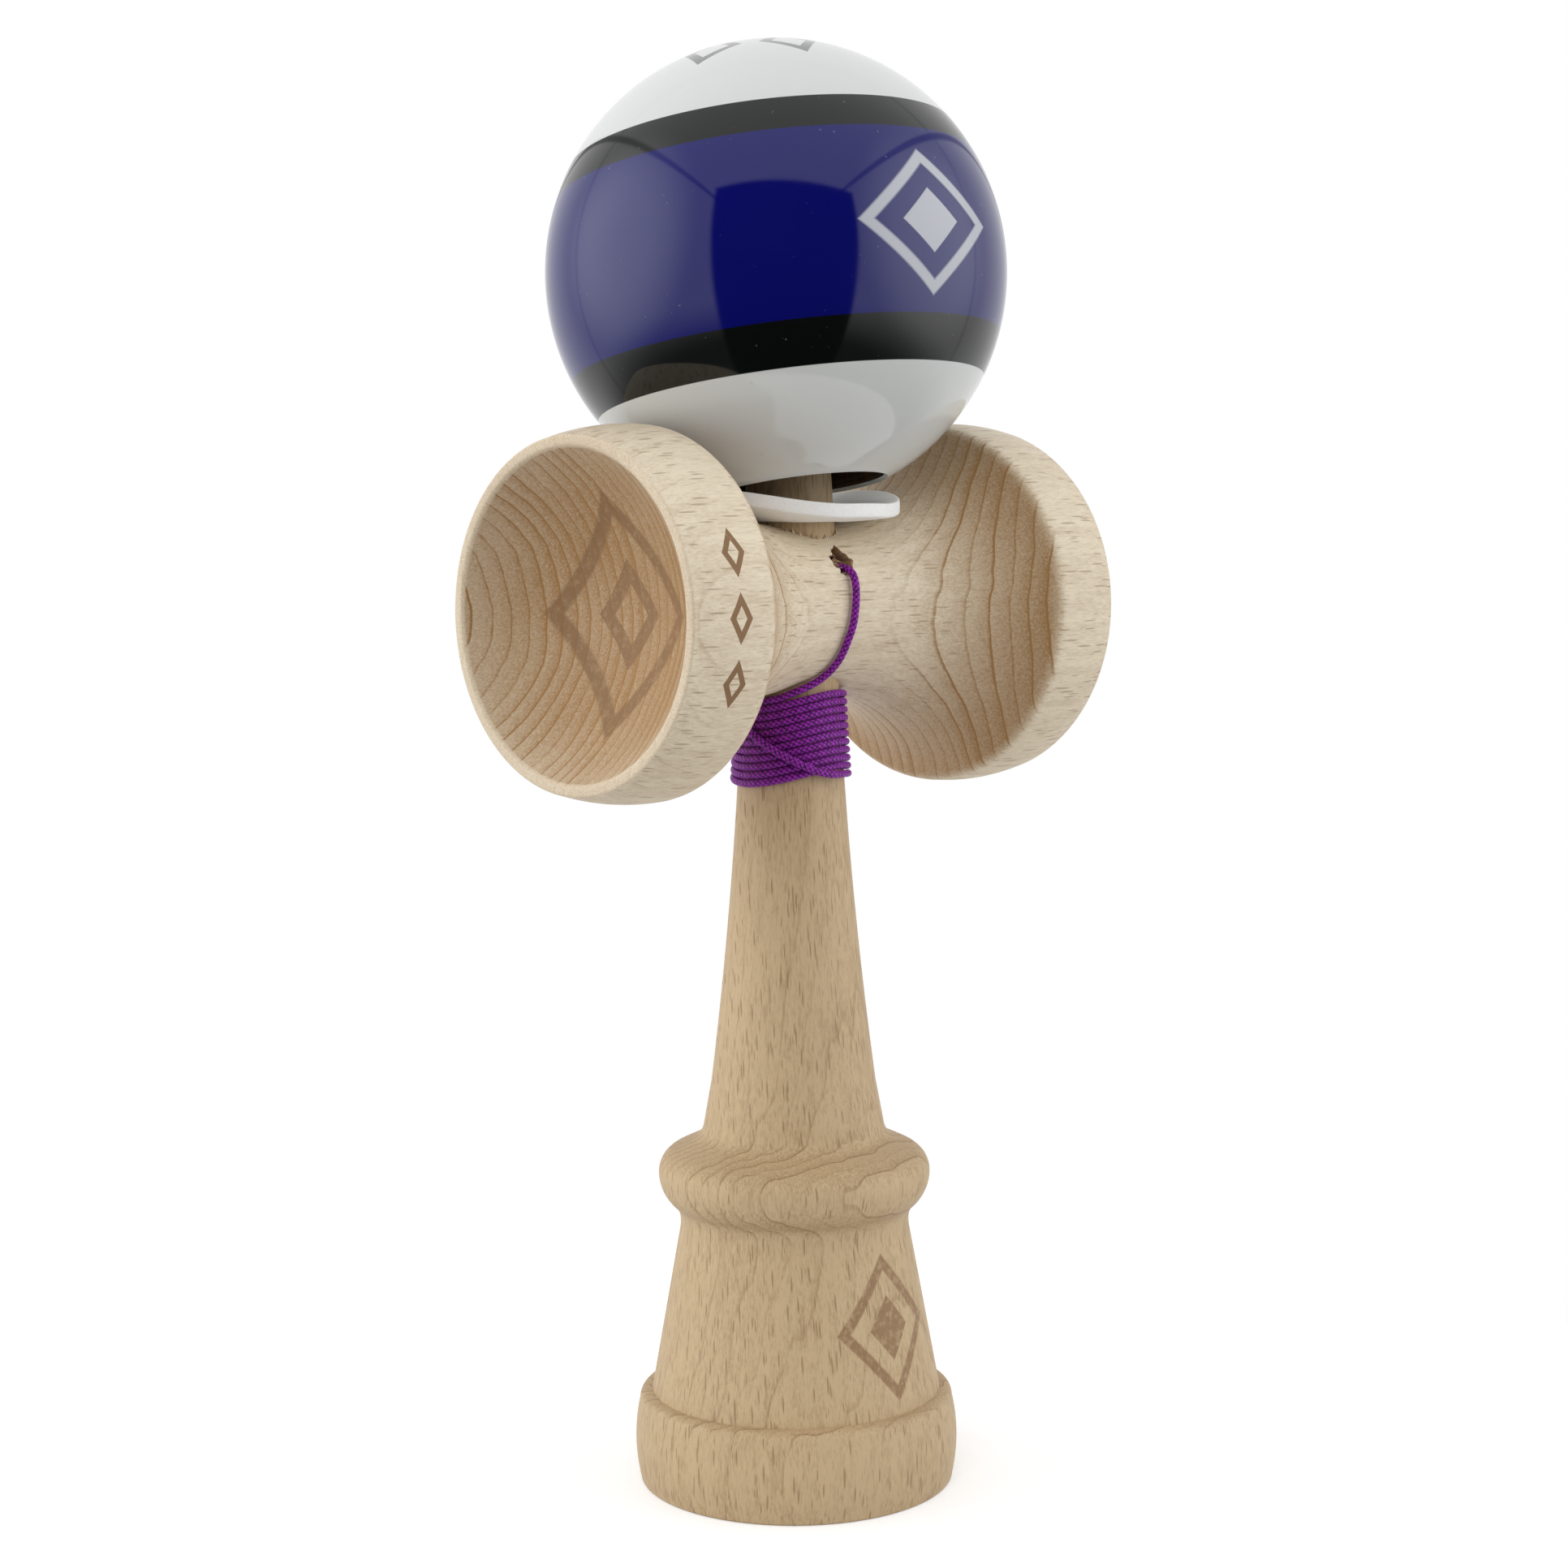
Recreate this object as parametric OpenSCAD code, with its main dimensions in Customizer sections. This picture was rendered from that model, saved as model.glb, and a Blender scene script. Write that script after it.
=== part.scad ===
// Kendama: a turned handle with a spike, a crossbar with two cups, a lacquered ball and its string.
// Millimetres. The handle stands on Z with the rim of its base cup on Z = 0, and the crossbar
// lies along X with the big cup at +X. The string hole is in the front, at -Y.

/* [Ken] */
// Diameter of the flat rim that the handle stands on
base_d = 42.2; // [38:0.2:48]
// Height of the barrel-shaped foot
base_h = 12.3; // [10:0.1:18]
// How far the foot's side swells out
base_swell = 0.6; // [0.2:0.1:1.5]
// Height of the rounded shoulder on top of the foot
shoulder_soft = 1.4; // [0.6:0.1:2.5]
// Diameter of the cone where it leaves the foot
cone_d = 38.8; // [34:0.2:40.5]
// Height of the cone above the foot
cone_h = 22.5; // [15:0.5:35]
// Diameter of the neck at the top of the cone
neck_d = 30.6; // [26:0.2:33]
// Height of the neck
neck_h = 2.1; // [1:0.1:5]
// Largest diameter of the collar
collar_d = 36.4; // [34:0.2:42]
// Radius of the collar's lower round
collar_low_r = 5.7; // [4:0.1:7]
// How far the collar's lower round turns in towards the neck, in degrees
collar_low_turn = 60.6; // [40:0.2:80]
// Radius of the collar's upper round
collar_high_r = 4.7; // [3:0.1:5.5]
// Diameter of the grip above its flare
grip_low_d = 22; // [18:0.2:24]
// Height of the flare between collar and grip
flare_h = 7.6; // [4:0.2:12]
// Diameter of the grip where it enters the crossbar
grip_top_d = 13; // [11:0.1:15]
// Length of the grip above its flare
grip_l = 51.5; // [40:0.5:70]
// How far the grip is drawn in between its ends
grip_draw = 0.56; // [0.1:0.02:1]
// Diameter of the base cup's mouth
base_cup_d = 37.4; // [30:0.2:38]
// Radius of the base cup's bowl
base_cup_r = 26; // [22:0.5:36]
// Diameter of the seat at the top of the crossbar
seat_top_d = 11.9; // [10:0.1:12.6]
// Length of the spike above the crossbar's waist
spike_h = 34; // [28:0.5:36]
// Diameter of the spike where its nose begins
spike_tip_d = 8.8; // [6:0.1:9.6]
// Length of the spike's round nose
spike_nose = 4.5; // [3:0.1:7]

/* [Sarado] */
// Diameter of the crossbar's waist
waist_d = 22; // [19:0.2:26]
// Length of the straight waist
waist_l = 6; // [2:0.5:10]
// Radius of the hollow flanks between waist and cups
flank_r = 27.3; // [24:0.1:32]
// Distance from the handle's axis to the small cup's mouth
small_cup_l = 38.6; // [35:0.2:44]
// Outer diameter at the small cup's mouth
small_mouth_d = 44.6; // [43:0.2:47]
// Outer diameter at the back edge of the small cup
small_back_d = 47.4; // [45:0.2:50]
// How far the small cup's band swells out
small_swell = 0.45; // [0.1:0.05:1]
// Diameter of the small cup's bowl at its mouth
small_bowl_d = 41.9; // [36:0.1:42.2]
// Radius of the small cup's bowl
small_bowl_r = 26; // [24:0.5:34]
// Distance from the handle's axis to the big cup's mouth
big_cup_l = 37.8; // [35:0.2:44]
// Outer diameter at the big cup's mouth
big_mouth_d = 48.5; // [46:0.1:50]
// Outer diameter at the back edge of the big cup
big_back_d = 49.3; // [47:0.1:51]
// How far the big cup's band swells out
big_swell = 0.35; // [0.1:0.05:1]
// Diameter of the big cup's bowl at its mouth
big_bowl_d = 45.2; // [40:0.1:46]
// Radius of the big cup's bowl
big_bowl_r = 28; // [26:0.5:36]
// Softening of the cups' back edges
edge_soft = 1.6; // [0.6:0.1:2.4]
// Softening of the cups' mouth rims and of the foot's rim
rim_soft = 0.5; // [0.2:0.1:0.8]
// Diameter of the string hole in the waist
string_hole_d = 2.6; // [2:0.1:3]
// Height of the string hole above the crossbar's axis
string_hole_rise = 5.7; // [3:0.1:7]
// Sideways place of the string hole
string_hole_x = 0.8; // [-1:0.1:1]
// Diameter of the handle's cross hole that holds the knot
knot_hole_d = 3.6; // [3.4:0.1:4.4]

/* [Tama] */
// Diameter of the ball
tama_d = 60; // [54:0.5:68]
// Diameter of the bore that the spike goes into
bore_d = 21.8; // [20:0.1:25]
// Depth of the bore from its mouth
bore_depth = 42; // [40:0.5:46]
// Bevel at the bore's mouth
bore_bevel = 0.45; // [0.2:0.05:1]
// Bevel at the bore's blind end
bore_end_bevel = 2.5; // [0.5:0.1:4]
// Diameter of the string hole at the ball's pole
pole_hole_d = 2.6; // [2:0.1:4]
// Diameter of the countersink around the pole hole
countersink_d = 6.2; // [5:0.1:8]
// Depth of the countersink
countersink_h = 1.8; // [1:0.1:2.5]
// Lean of the ball towards +Y as it rests on the spike, in degrees
tama_lean = 9; // [6:0.5:11]
// Sideways shift of the ball towards the small cup
tama_side = 2; // [0:0.1:3]

/* [Washer] */
// Outer diameter of the soft ring
washer_d = 29.2; // [26:0.2:32]
// Thickness of the soft ring
washer_t = 2; // [1.5:0.1:3]
// How far the ring's front and back are bent up
washer_bend = 0.6; // [0:0.1:1]

/* [String] */
// Diameter of the string on its free stretches
string_d = 1; // [0.8:0.05:1.2]
// Diameter of the string in the winding, drawn thin so that the turns stay apart
wound_d = 0.6; // [0.5:0.02:0.62]
// Pitch of the turns on the grip
wind_pitch = 1.06; // [1.04:0.01:1.3]
// Turns of the winding, with the strand that crosses back over them
wind_turns = 11.15; // [11.1:0.01:11.2]
// Height of the winding's start below the crossbar's axis
wind_drop = 11; // [10.9:0.05:12]
// Diameter of the two knots
knot_d = 3; // [2.8:0.1:3.3]

/* [Bead] */
// Diameter of the stop bead inside the ball
bead_d = 8; // [6:0.1:9]
// Length of the stop bead along the string
bead_l = 6.4; // [5:0.1:6.6]

/* [Fits] */
// Clearance of the tapered seat in the crossbar, on the radius
seat_clearance = 0.03; // [0.01:0.01:0.1]
// How far the tapered seat begins below the waist
seat_reveal = 0.5; // [0.2:0.1:1]
// Clearance of the soft ring round the spike, on the radius
washer_slack = 0.45; // [0.3:0.05:1]
// Clearance between the soft ring and the crossbar's flanks
washer_gap = 0.2; // [0.15:0.05:0.5]
// Clearance between the ball's mouth and the soft ring
tama_gap = 0.32; // [0.3:0.02:0.6]
// Clearance between the bore's edge and the spike it leans on
spike_gap = 0.4; // [0.3:0.05:0.8]
// Clearance between the bead and the bore's end, and between the bead and its knot
bead_gap = 0.3; // [0.2:0.05:0.6]
// Clearance of the string in the bead, on the radius
bead_slack = 0.15; // [0.1:0.05:0.4]
// Clearance between the wound string and the grip
wind_gap = 0.15; // [0.1:0.01:0.3]

/* [Hidden] */

$fn = 96;
beech = [0.86, 0.75, 0.58];
lacquer = [0.3, 0.24, 0.62];
soft_white = [0.95, 0.95, 0.94];
braid = [0.45, 0.1, 0.55];

// Steps along one curved stretch of an outline
curve_steps = 12;
// Margin by which cuts run past the faces that they open
past = 1;
// Share of the step between collar and grip at which the flare's corner lies
flare_pull = 0.45;

// Levels of the handle, from the floor up
cone_top_z = base_h + cone_h;
collar_z = cone_top_z + neck_h + collar_low_r * sin(collar_low_turn);
collar_top_z = collar_z + collar_high_r;
collar_top_r = collar_d / 2 - collar_high_r;
grip_low_z = collar_top_z + flare_h;
grip_top_z = grip_low_z + grip_l;
sarado_z = grip_top_z + seat_reveal + waist_d / 2;
sarado_top_z = sarado_z + waist_d / 2;
tip_z = sarado_top_z + spike_h;
string_hole_z = sarado_z + string_hole_rise;

// Radius of the handle on its grip, drawn in between its ends, and on its tapered seat
function along(z, z0, z1) = (z - z0) / (z1 - z0);
function mix(a, b, t) = a + (b - a) * t;
function grip_radius(z) = let (t = along(z, grip_low_z, grip_top_z))
    mix(grip_low_d, grip_top_d, t) / 2 - 4 * grip_draw * t * (1 - t);
function seat_radius(z) = mix(grip_top_d, seat_top_d, along(z, grip_top_z, sarado_top_z)) / 2;

// Radius of the crossbar at a distance x from the handle's axis, between its cups
function flank_radius(x) = let (out = max(0, abs(x) - waist_l / 2))
    waist_d / 2 + flank_r - sqrt(flank_r * flank_r - out * out);
// Angle along the flank's round at which it reaches a radius r
function flank_angle(r) = acos((waist_d / 2 + flank_r - r) / flank_r);
function flank_point(angle) = [waist_d / 2 + flank_r * (1 - cos(angle)), waist_l / 2 + flank_r * sin(angle)];

// A soft corner from p to q that is drawn towards the corner c
function soft_corner(p, c, q) = [for (i = [0 : curve_steps])
    let (t = i / curve_steps) (1 - t) * (1 - t) * p + 2 * t * (1 - t) * c + t * t * q];
// A shallow curve from p to q that swells to its right by a given height
function swell_curve(p, q, swell) = let (side = [q.y - p.y, p.x - q.x] / norm(q - p))
    [for (i = [0 : curve_steps]) let (t = i / curve_steps) mix(p, q, t) + side * 4 * swell * t * (1 - t)];
// A circular arc about a centre, by radius and angles
function round_arc(centre, r, from, to) = [for (i = [0 : curve_steps])
    centre + r * [cos(mix(from, to, i / curve_steps)), sin(mix(from, to, i / curve_steps))]];

// Half outline of the handle: radius and height
ken_outline = concat(
    [[0, 0]],
    soft_corner([base_d / 2 - rim_soft, 0], [base_d / 2, 0], [base_d / 2, rim_soft]),
    swell_curve([base_d / 2, rim_soft], [base_d / 2, base_h - shoulder_soft], base_swell),
    soft_corner([base_d / 2, base_h - shoulder_soft], [base_d / 2, base_h], [cone_d / 2, base_h]),
    [[neck_d / 2, cone_top_z]],
    round_arc([collar_d / 2 - collar_low_r, collar_z], collar_low_r, -collar_low_turn, 0),
    round_arc([collar_top_r, collar_z], collar_high_r, 0, 90),
    soft_corner([collar_top_r, collar_top_z], [mix(grip_low_d / 2, collar_top_r, flare_pull), collar_top_z],
        [grip_low_d / 2, grip_low_z]),
    [for (i = [1 : curve_steps]) let (z = mix(grip_low_z, grip_top_z, i / curve_steps)) [grip_radius(z), z]],
    [[seat_top_d / 2, sarado_top_z]],
    soft_corner([spike_tip_d / 2, tip_z - spike_nose], [spike_tip_d / 2, tip_z], [0, tip_z]));

// Half outline of one cup from its rim to the waist: radius and distance from the handle's axis
function cup_outline(l, mouth_d, back_d, swell) =
    let (back = flank_point(flank_angle(back_d / 2)),
        soft_angle = flank_angle(back_d / 2) - edge_soft / flank_r * 180 / PI,
        band_end = [back_d / 2, back.y + edge_soft])
    concat(
        [[0, l]],
        soft_corner([mouth_d / 2 - rim_soft, l], [mouth_d / 2, l], [mouth_d / 2, l - rim_soft]),
        swell_curve([mouth_d / 2, l - rim_soft], band_end, -swell),
        soft_corner(band_end, back, flank_point(soft_angle)),
        [for (i = [1 : curve_steps]) flank_point(mix(soft_angle, 0, i / curve_steps))]);

big_outline = cup_outline(big_cup_l, big_mouth_d, big_back_d, big_swell);
small_outline = cup_outline(small_cup_l, small_mouth_d, small_back_d, small_swell);
sarado_outline = concat(big_outline,
    [for (i = [len(small_outline) - 1 : -1 : 0]) [small_outline[i].x, -small_outline[i].y]]);

// Distance from a bowl's mouth plane out to the centre of its round
function bowl_offset(r, d) = sqrt(r * r - d * d / 4);

// The soft ring: its middle surface lies along the flanks and bends up a little in front and behind
washer_hole_d = seat_top_d + 2 * washer_slack;
function washer_z(x, y) = sarado_z + flank_radius(x) + washer_gap + washer_t / 2
    + washer_bend * y * y * 4 / (washer_d * washer_d);

// The ball rests on the ring and leans its bore's edge on the spike
tama_r = tama_d / 2;
mouth_r = bore_d / 2 + bore_bevel;
mouth_h = sqrt(tama_r * tama_r - mouth_r * mouth_r);
bore_end_h = bore_depth - mouth_h;
mouth_shift = bore_d / 2 - seat_top_d / 2 - spike_gap + bore_bevel / 2;
mouth_y = -sqrt(mouth_shift * mouth_shift - tama_side * tama_side);
function rim_point(angle) = [mouth_r * cos(angle) - tama_side,
    mouth_y + mouth_r * sin(angle) * cos(tama_lean), -mouth_r * sin(angle) * sin(tama_lean)];
mouth_z = max([for (angle = [0 : 5 : 355])
    let (rim = rim_point(angle)) washer_z(rim.x, rim.y) - rim.z]) + washer_t / 2 + tama_gap;
tama_centre = [-tama_side, mouth_y + mouth_h * sin(tama_lean), mouth_z + mouth_h * cos(tama_lean)];

// The bead and its knot hang under the bore's end, on the ball's axis
bead_h = bore_end_h - bead_gap - bead_l / 2;
bead_knot_h = bead_h - bead_l / 2 - bead_gap - knot_d / 2;

// The winding: turns that follow the underside of the waist, then a strand that climbs back over them
wind_rings = 24;
wind_start = 213;
wind_tilt = 0.5;
wind_tilt_side = 330;
wind_saddle = 0.55;
cross_start = 3918;
cross_climb = 0.111;
cross_ease = 9;
cross_lift = 1.05;
cross_lift_from = 3843;
cross_lift_to = 3878;
wind_travel = wind_turns * 360;

function ease(t) = let (u = max(0, min(1, t))) u * u * (3 - 2 * u);
function wind_height(a) = sarado_z - wind_drop - wind_pitch * a / 360
    + wind_tilt * cos(wind_start - a - wind_tilt_side)
    + wind_saddle * cos(2 * (wind_start - a - 270))
    + cross_climb * cross_ease * ln(1 + exp((a - cross_start) / cross_ease));
function wind_radius(a) = grip_radius(wind_height(a)) + wind_gap + wound_d / 2
    + cross_lift * ease(along(a, cross_lift_from, cross_lift_to));
function wind_point(a) = [wind_radius(a) * cos(wind_start - a), wind_radius(a) * sin(wind_start - a),
    wind_height(a)];

function unit(v) = v / norm(v);
wind_step = 360 / wind_rings;
wind_count = floor(wind_travel / wind_step);
wind_turn_points = [for (i = [0 : wind_count]) wind_point(i * wind_step)];
wind_in = wind_turn_points[0] + unit(wind_turn_points[0] - wind_turn_points[1]) * wound_d;
wind_out = wind_turn_points[wind_count]
    + unit(wind_turn_points[wind_count] - wind_turn_points[wind_count - 1]) * wound_d;
wind_points = concat([wind_in], wind_turn_points, [wind_out]);

// Least gap of the wound tube to itself, between points at least half a turn apart
wind_self_gap = min([for (i = [0 : wind_count - wind_rings / 2])
    min([for (j = [i + wind_rings / 2 : wind_count]) norm(wind_turn_points[i] - wind_turn_points[j])])]) - wound_d;
echo(wind_self_gap = wind_self_gap);

// Route of the string from its knot out of the waist's hole and down to the winding
lead_points = [[0.8, -4, 122.9], [0.8, -6, 122.8], [0.8, -8, 122.7], [0.8, -9.4, 122.5], [0.8, -10.4, 122.1],
    [0.8, -11, 121.3], [0.7, -11.4, 120], [0.5, -11.6, 118.6], [0.3, -11.65, 117.2], [0, -11.5, 115.2],
    [-0.4, -10.9, 113.1], [-0.7, -9.9, 111], [-1.2, -8.6, 109.3], [-2, -7.4, 108.1], [-3.2, -6.6, 107.3],
    [-4.4, -5.8, 106.7]];
string_lead_points = concat(lead_points, [wind_in]);
// Route of the string from the winding round the grip's back and up to the ball's back
rise_points = [[-6.6, 5.1, 105], [-5.1, 6.9, 105.6], [-3.5, 8.2, 106.4], [-2.3, 9.2, 107.8], [-1.9, 10.3, 109.8],
    [-1.9, 12.3, 114], [-1.9, 14.4, 118.5], [-1.9, 16.5, 123], [-1.9, 18.6, 127.5], [-2, 20.7, 132],
    [-2, 22.8, 136.5], [-2, 24.9, 141], [-2, 27.9, 147.4]];
string_rise_points = concat([wind_out], rise_points);
// Route of the string over the ball's back, into the pole's hole and down to the bead's knot
over_points = [[-2, 28.1, 148], [-2, 29.1, 150.4], [-2, 29.9, 153.2], [-2, 30.5, 156.2], [-2, 30.8, 159],
    [-2, 30.8, 162], [-2, 30.5, 164.8], [-2, 29.9, 167.8], [-2, 29.1, 170.6], [-2, 27.9, 173.5],
    [-2, 26.3, 176.5], [-2, 24.4, 179.3], [-2, 22.2, 181.9], [-2, 19.7, 184.2], [-2, 17, 186.2],
    [-2, 14.1, 187.9], [-2, 11, 189.3], [-2, 8.6, 190.2], [-2, 7, 190.6], [-2, 6.1, 190.6], [-2, 5.4, 190.2],
    [-2, 4.8, 189.6], [-2, 4.5, 188.8], [-2, 4.1, 186.2], [-2, 3.6, 183.2], [-2, 3.1, 180.2], [-2, 2.7, 177.3],
    [-2, 2.2, 174.3], [-2, 1.7, 171.4], [-2, 1.1, 167.3]];

// Unit tangents of a route, and a normal at each point carried along without twist
function route_tangents(points) = [for (i = [0 : len(points) - 1])
    unit(points[min(i + 1, len(points) - 1)] - points[max(i - 1, 0)])];
function square_to(v, t) = unit(v - t * (v * t));
function first_normal(t) = square_to(abs(t.x) < 0.7 ? [1, 0, 0] : [0, 0, 1], t);
function carried_normals(tangents) = [for (i = 0, n = first_normal(tangents[0]); i < len(tangents);
    i = i + 1, n = i < len(tangents) ? square_to(n, tangents[i]) : n) n];

// A closed tube swept along a route
module tube(points, d, sides) {
    tangents = route_tangents(points);
    normals = carried_normals(tangents);
    last = len(points) - 1;
    rings = [for (i = [0 : last], k = [0 : sides - 1]) points[i] + d / 2 * (cos(360 * k / sides) * normals[i]
        + sin(360 * k / sides) * cross(tangents[i], normals[i]))];
    walls = [for (i = [0 : last - 1], k = [0 : sides - 1])
        let (a = i * sides + k, b = i * sides + (k + 1) % sides)
        each [[a, a + sides, b + sides], [a, b + sides, b]]];
    ends = [for (k = [1 : sides - 2]) each [[0, k, k + 1],
        [last * sides, last * sides + k + 1, last * sides + k]]];
    polyhedron(rings, concat(walls, ends), convexity = 10);
}

// Places a shape that is built on the ball's own axis
module on_tama_axis() translate(tama_centre) rotate([-tama_lean, 0, 0]) children();

// A round hole along Y through a chosen side, at the string hole's place
module string_hole(d, from_y, to_y)
    translate([string_hole_x, to_y, string_hole_z]) rotate([90, 0, 0]) cylinder(d = d, h = to_y - from_y);

module ken() color(beech) difference() {
    rotate_extrude() polygon(ken_outline);
    translate([0, 0, -bowl_offset(base_cup_r, base_cup_d)]) sphere(base_cup_r);
    string_hole(knot_hole_d, -waist_d / 2, waist_d / 2);
}

module sarado() color(beech) difference() {
    translate([0, 0, sarado_z]) rotate([0, 90, 0]) rotate_extrude() polygon(sarado_outline);
    translate([-small_cup_l - bowl_offset(small_bowl_r, small_bowl_d), 0, sarado_z]) sphere(small_bowl_r);
    translate([big_cup_l + bowl_offset(big_bowl_r, big_bowl_d), 0, sarado_z]) sphere(big_bowl_r);
    translate([0, 0, grip_top_z - past]) cylinder(h = sarado_top_z - grip_top_z + 2 * past,
        r1 = seat_radius(grip_top_z - past) + seat_clearance,
        r2 = seat_radius(sarado_top_z + past) + seat_clearance);
    string_hole(string_hole_d, -waist_d, 0);
}

module tama() color(lacquer) on_tama_axis() difference() {
    sphere(tama_r);
    rotate_extrude() polygon([[0, -tama_r - past], [mouth_r + tama_r + past - mouth_h, -tama_r - past],
        [bore_d / 2, bore_bevel - mouth_h], [bore_d / 2, bore_end_h - bore_end_bevel],
        [bore_d / 2 - bore_end_bevel, bore_end_h], [0, bore_end_h]]);
    cylinder(d = pole_hole_d, h = tama_r + past);
    translate([0, 0, tama_r - countersink_h]) cylinder(h = 2 * countersink_h, d1 = pole_hole_d,
        d2 = 2 * countersink_d - pole_hole_d);
}

// A ring with softened edges whose points are lifted onto the bent middle surface
module washer() {
    steps = 48;
    soft = washer_t / 5;
    inner = washer_hole_d / 2;
    outer = washer_d / 2;
    half = washer_t / 2;
    middle = (inner + outer) / 2;
    section = [[inner, soft - half], [inner + soft, -half], [middle, -half], [outer - soft, -half],
        [outer, soft - half], [outer, half - soft], [outer - soft, half], [middle, half],
        [inner + soft, half], [inner, half - soft]];
    count = len(section);
    points = [for (i = [0 : steps - 1], p = section)
        let (x = p.x * cos(360 * i / steps), y = p.x * sin(360 * i / steps)) [x, y, washer_z(x, y) + p.y]];
    faces = [for (i = [0 : steps - 1], k = [0 : count - 1])
        let (a = i * count + k, b = i * count + (k + 1) % count,
            c = (i + 1) % steps * count + k, d = (i + 1) % steps * count + (k + 1) % count)
        each [[a, b, d], [a, d, c]]];
    color(soft_white) polyhedron(points, faces, convexity = 4);
}

module string_lead() color(braid) tube(string_lead_points, string_d, 8);

module string_winding() color(braid) tube(wind_points, wound_d, 6);

module string_rise() color(braid) tube(string_rise_points, string_d, 8);

module string_over_ball() color(braid) tube(over_points, string_d, 8);

module anchor_knot() color(braid) translate([string_hole_x, lead_points[0].y + knot_d / 3, string_hole_z])
    sphere(d = knot_d);

module bead() color(beech) on_tama_axis() translate([0, 0, bead_h]) difference() {
    intersection() {
        sphere(d = bead_d);
        cylinder(d = bead_d + past, h = bead_l, center = true);
    }
    cylinder(d = string_d + 2 * bead_slack, h = bead_l + past, center = true);
}

module bead_knot() color(braid) on_tama_axis() translate([0, 0, bead_knot_h]) sphere(d = knot_d);

ken();
sarado();
tama();
washer();
string_lead();
string_winding();
string_rise();
string_over_ball();
anchor_knot();
bead();
bead_knot();
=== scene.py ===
"""Dresses the packed kendama: turned beech, banded lacquer, a soft ring and a braided string."""

import math

import bmesh
import bpy
import numpy as np
from bpy.props import FloatProperty, FloatVectorProperty, PointerProperty
from bpy.types import Operator, Panel, PropertyGroup
from mathutils import Matrix, Vector


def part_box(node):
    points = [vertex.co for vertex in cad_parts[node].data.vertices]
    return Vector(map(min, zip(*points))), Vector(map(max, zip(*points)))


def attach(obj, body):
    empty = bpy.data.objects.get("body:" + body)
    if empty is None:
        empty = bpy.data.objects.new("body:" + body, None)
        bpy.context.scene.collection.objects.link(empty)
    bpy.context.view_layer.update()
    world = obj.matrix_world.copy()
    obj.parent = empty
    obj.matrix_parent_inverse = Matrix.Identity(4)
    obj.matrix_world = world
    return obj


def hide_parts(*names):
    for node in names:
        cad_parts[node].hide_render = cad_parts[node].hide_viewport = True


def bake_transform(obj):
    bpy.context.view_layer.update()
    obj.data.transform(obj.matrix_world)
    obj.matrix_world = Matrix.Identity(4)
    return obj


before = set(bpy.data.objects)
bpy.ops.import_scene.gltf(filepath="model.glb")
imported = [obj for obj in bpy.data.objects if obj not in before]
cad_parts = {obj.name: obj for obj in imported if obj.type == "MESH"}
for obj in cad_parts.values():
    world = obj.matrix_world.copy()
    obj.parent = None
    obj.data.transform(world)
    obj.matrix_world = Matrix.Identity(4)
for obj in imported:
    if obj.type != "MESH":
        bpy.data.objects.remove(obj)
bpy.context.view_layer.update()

bl_info = {
    "name": "Kendama",
    "version": (1, 0, 0),
    "blender": (4, 5, 0),
    "location": "3D View > Sidebar > Kendama",
    "description": "Builds the visible pieces of a kendama around its packed model",
    "category": "Add Mesh",
}

MM = 0.001

# Corners of the packed nodes, which the visible pieces take their places from
SARADO_LOW, SARADO_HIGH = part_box("sarado")
TAMA_LOW, TAMA_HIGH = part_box("tama")
WASHER_LOW, WASHER_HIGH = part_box("washer")
BEAD_LOW, BEAD_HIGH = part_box("bead")
BEAD_KNOT_LOW, BEAD_KNOT_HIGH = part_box("bead_knot")
ANCHOR_LOW, ANCHOR_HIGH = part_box("anchor_knot")

# Heights of the crossbar's axis and of the spike's tip
SARADO_AXIS_Z = (SARADO_LOW[2] + SARADO_HIGH[2]) / 2.0
SPIKE_TIP_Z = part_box("ken")[1][2]

# Columns of faces round the turned pieces and the ring, and sides of the string
TURNED_COLUMNS, BALL_COLUMNS, BEAD_COLUMNS = 192, 224, 64
RING_COLUMNS, RING_ROWS = 192, 48
STRING_SIDES = 16
# Angles in degrees between faces, above which an edge is drawn sharp
WOOD_CREASE, RING_CREASE, STRING_CREASE = 35.0, 60.0, 80.0

# Beech: spacing of its rays in millimetres, round the pith and out from it
RAY_THICKNESS, RAY_DEPTH = 0.32, 1.5
# Beech noises in waves per millimetre, and how far the slow bends push the rings
SLOW_BENDS, SCALLOPS = (0.05, 0.05, 0.012), (0.04, 0.46, 0.012)
PORES, STREAKS, DRIFTS = (3.8, 3.8, 0.55), (0.9, 0.9, 0.05), (0.05, 0.05, 0.015)
SLOW_BEND = 5.0
# The handle's wood: pith and rings in millimetres, lean of the grain, and strength of each figure
KEN_WOOD = {"pith": (1.0, -14.0, 0.0), "turn": (math.radians(1.2), math.radians(-0.8), 0.0),
            "grain": (0.0, 0.0, 1.0), "ring_width": 1.6, "waviness": 1.5, "side_rings": 0.3,
            "end_rings": 0.8, "flecks": 0.7, "pores": 2.0, "end_tone": 0.25, "ray_reach": 24.0,
            "ray_height": 4.4}
# The crossbar's wood: its pith is given after the grain is turned upright
SARADO_WOOD = {"pith": (SARADO_AXIS_Z / MM, -70.0, 0.0), "turn": (0.0, math.radians(-90.0), 0.0),
               "grain": (1.0, 0.0, 0.0), "ring_width": 1.9, "waviness": 0.35, "side_rings": 0.08,
               "end_rings": 0.66, "flecks": 0.5, "pores": 1.0, "end_tone": 0.7, "ray_reach": 70.0,
               "ray_height": 5.0}
# Strength of flecks and streaks on end grain
END_FLECKS = 0.08

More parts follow.
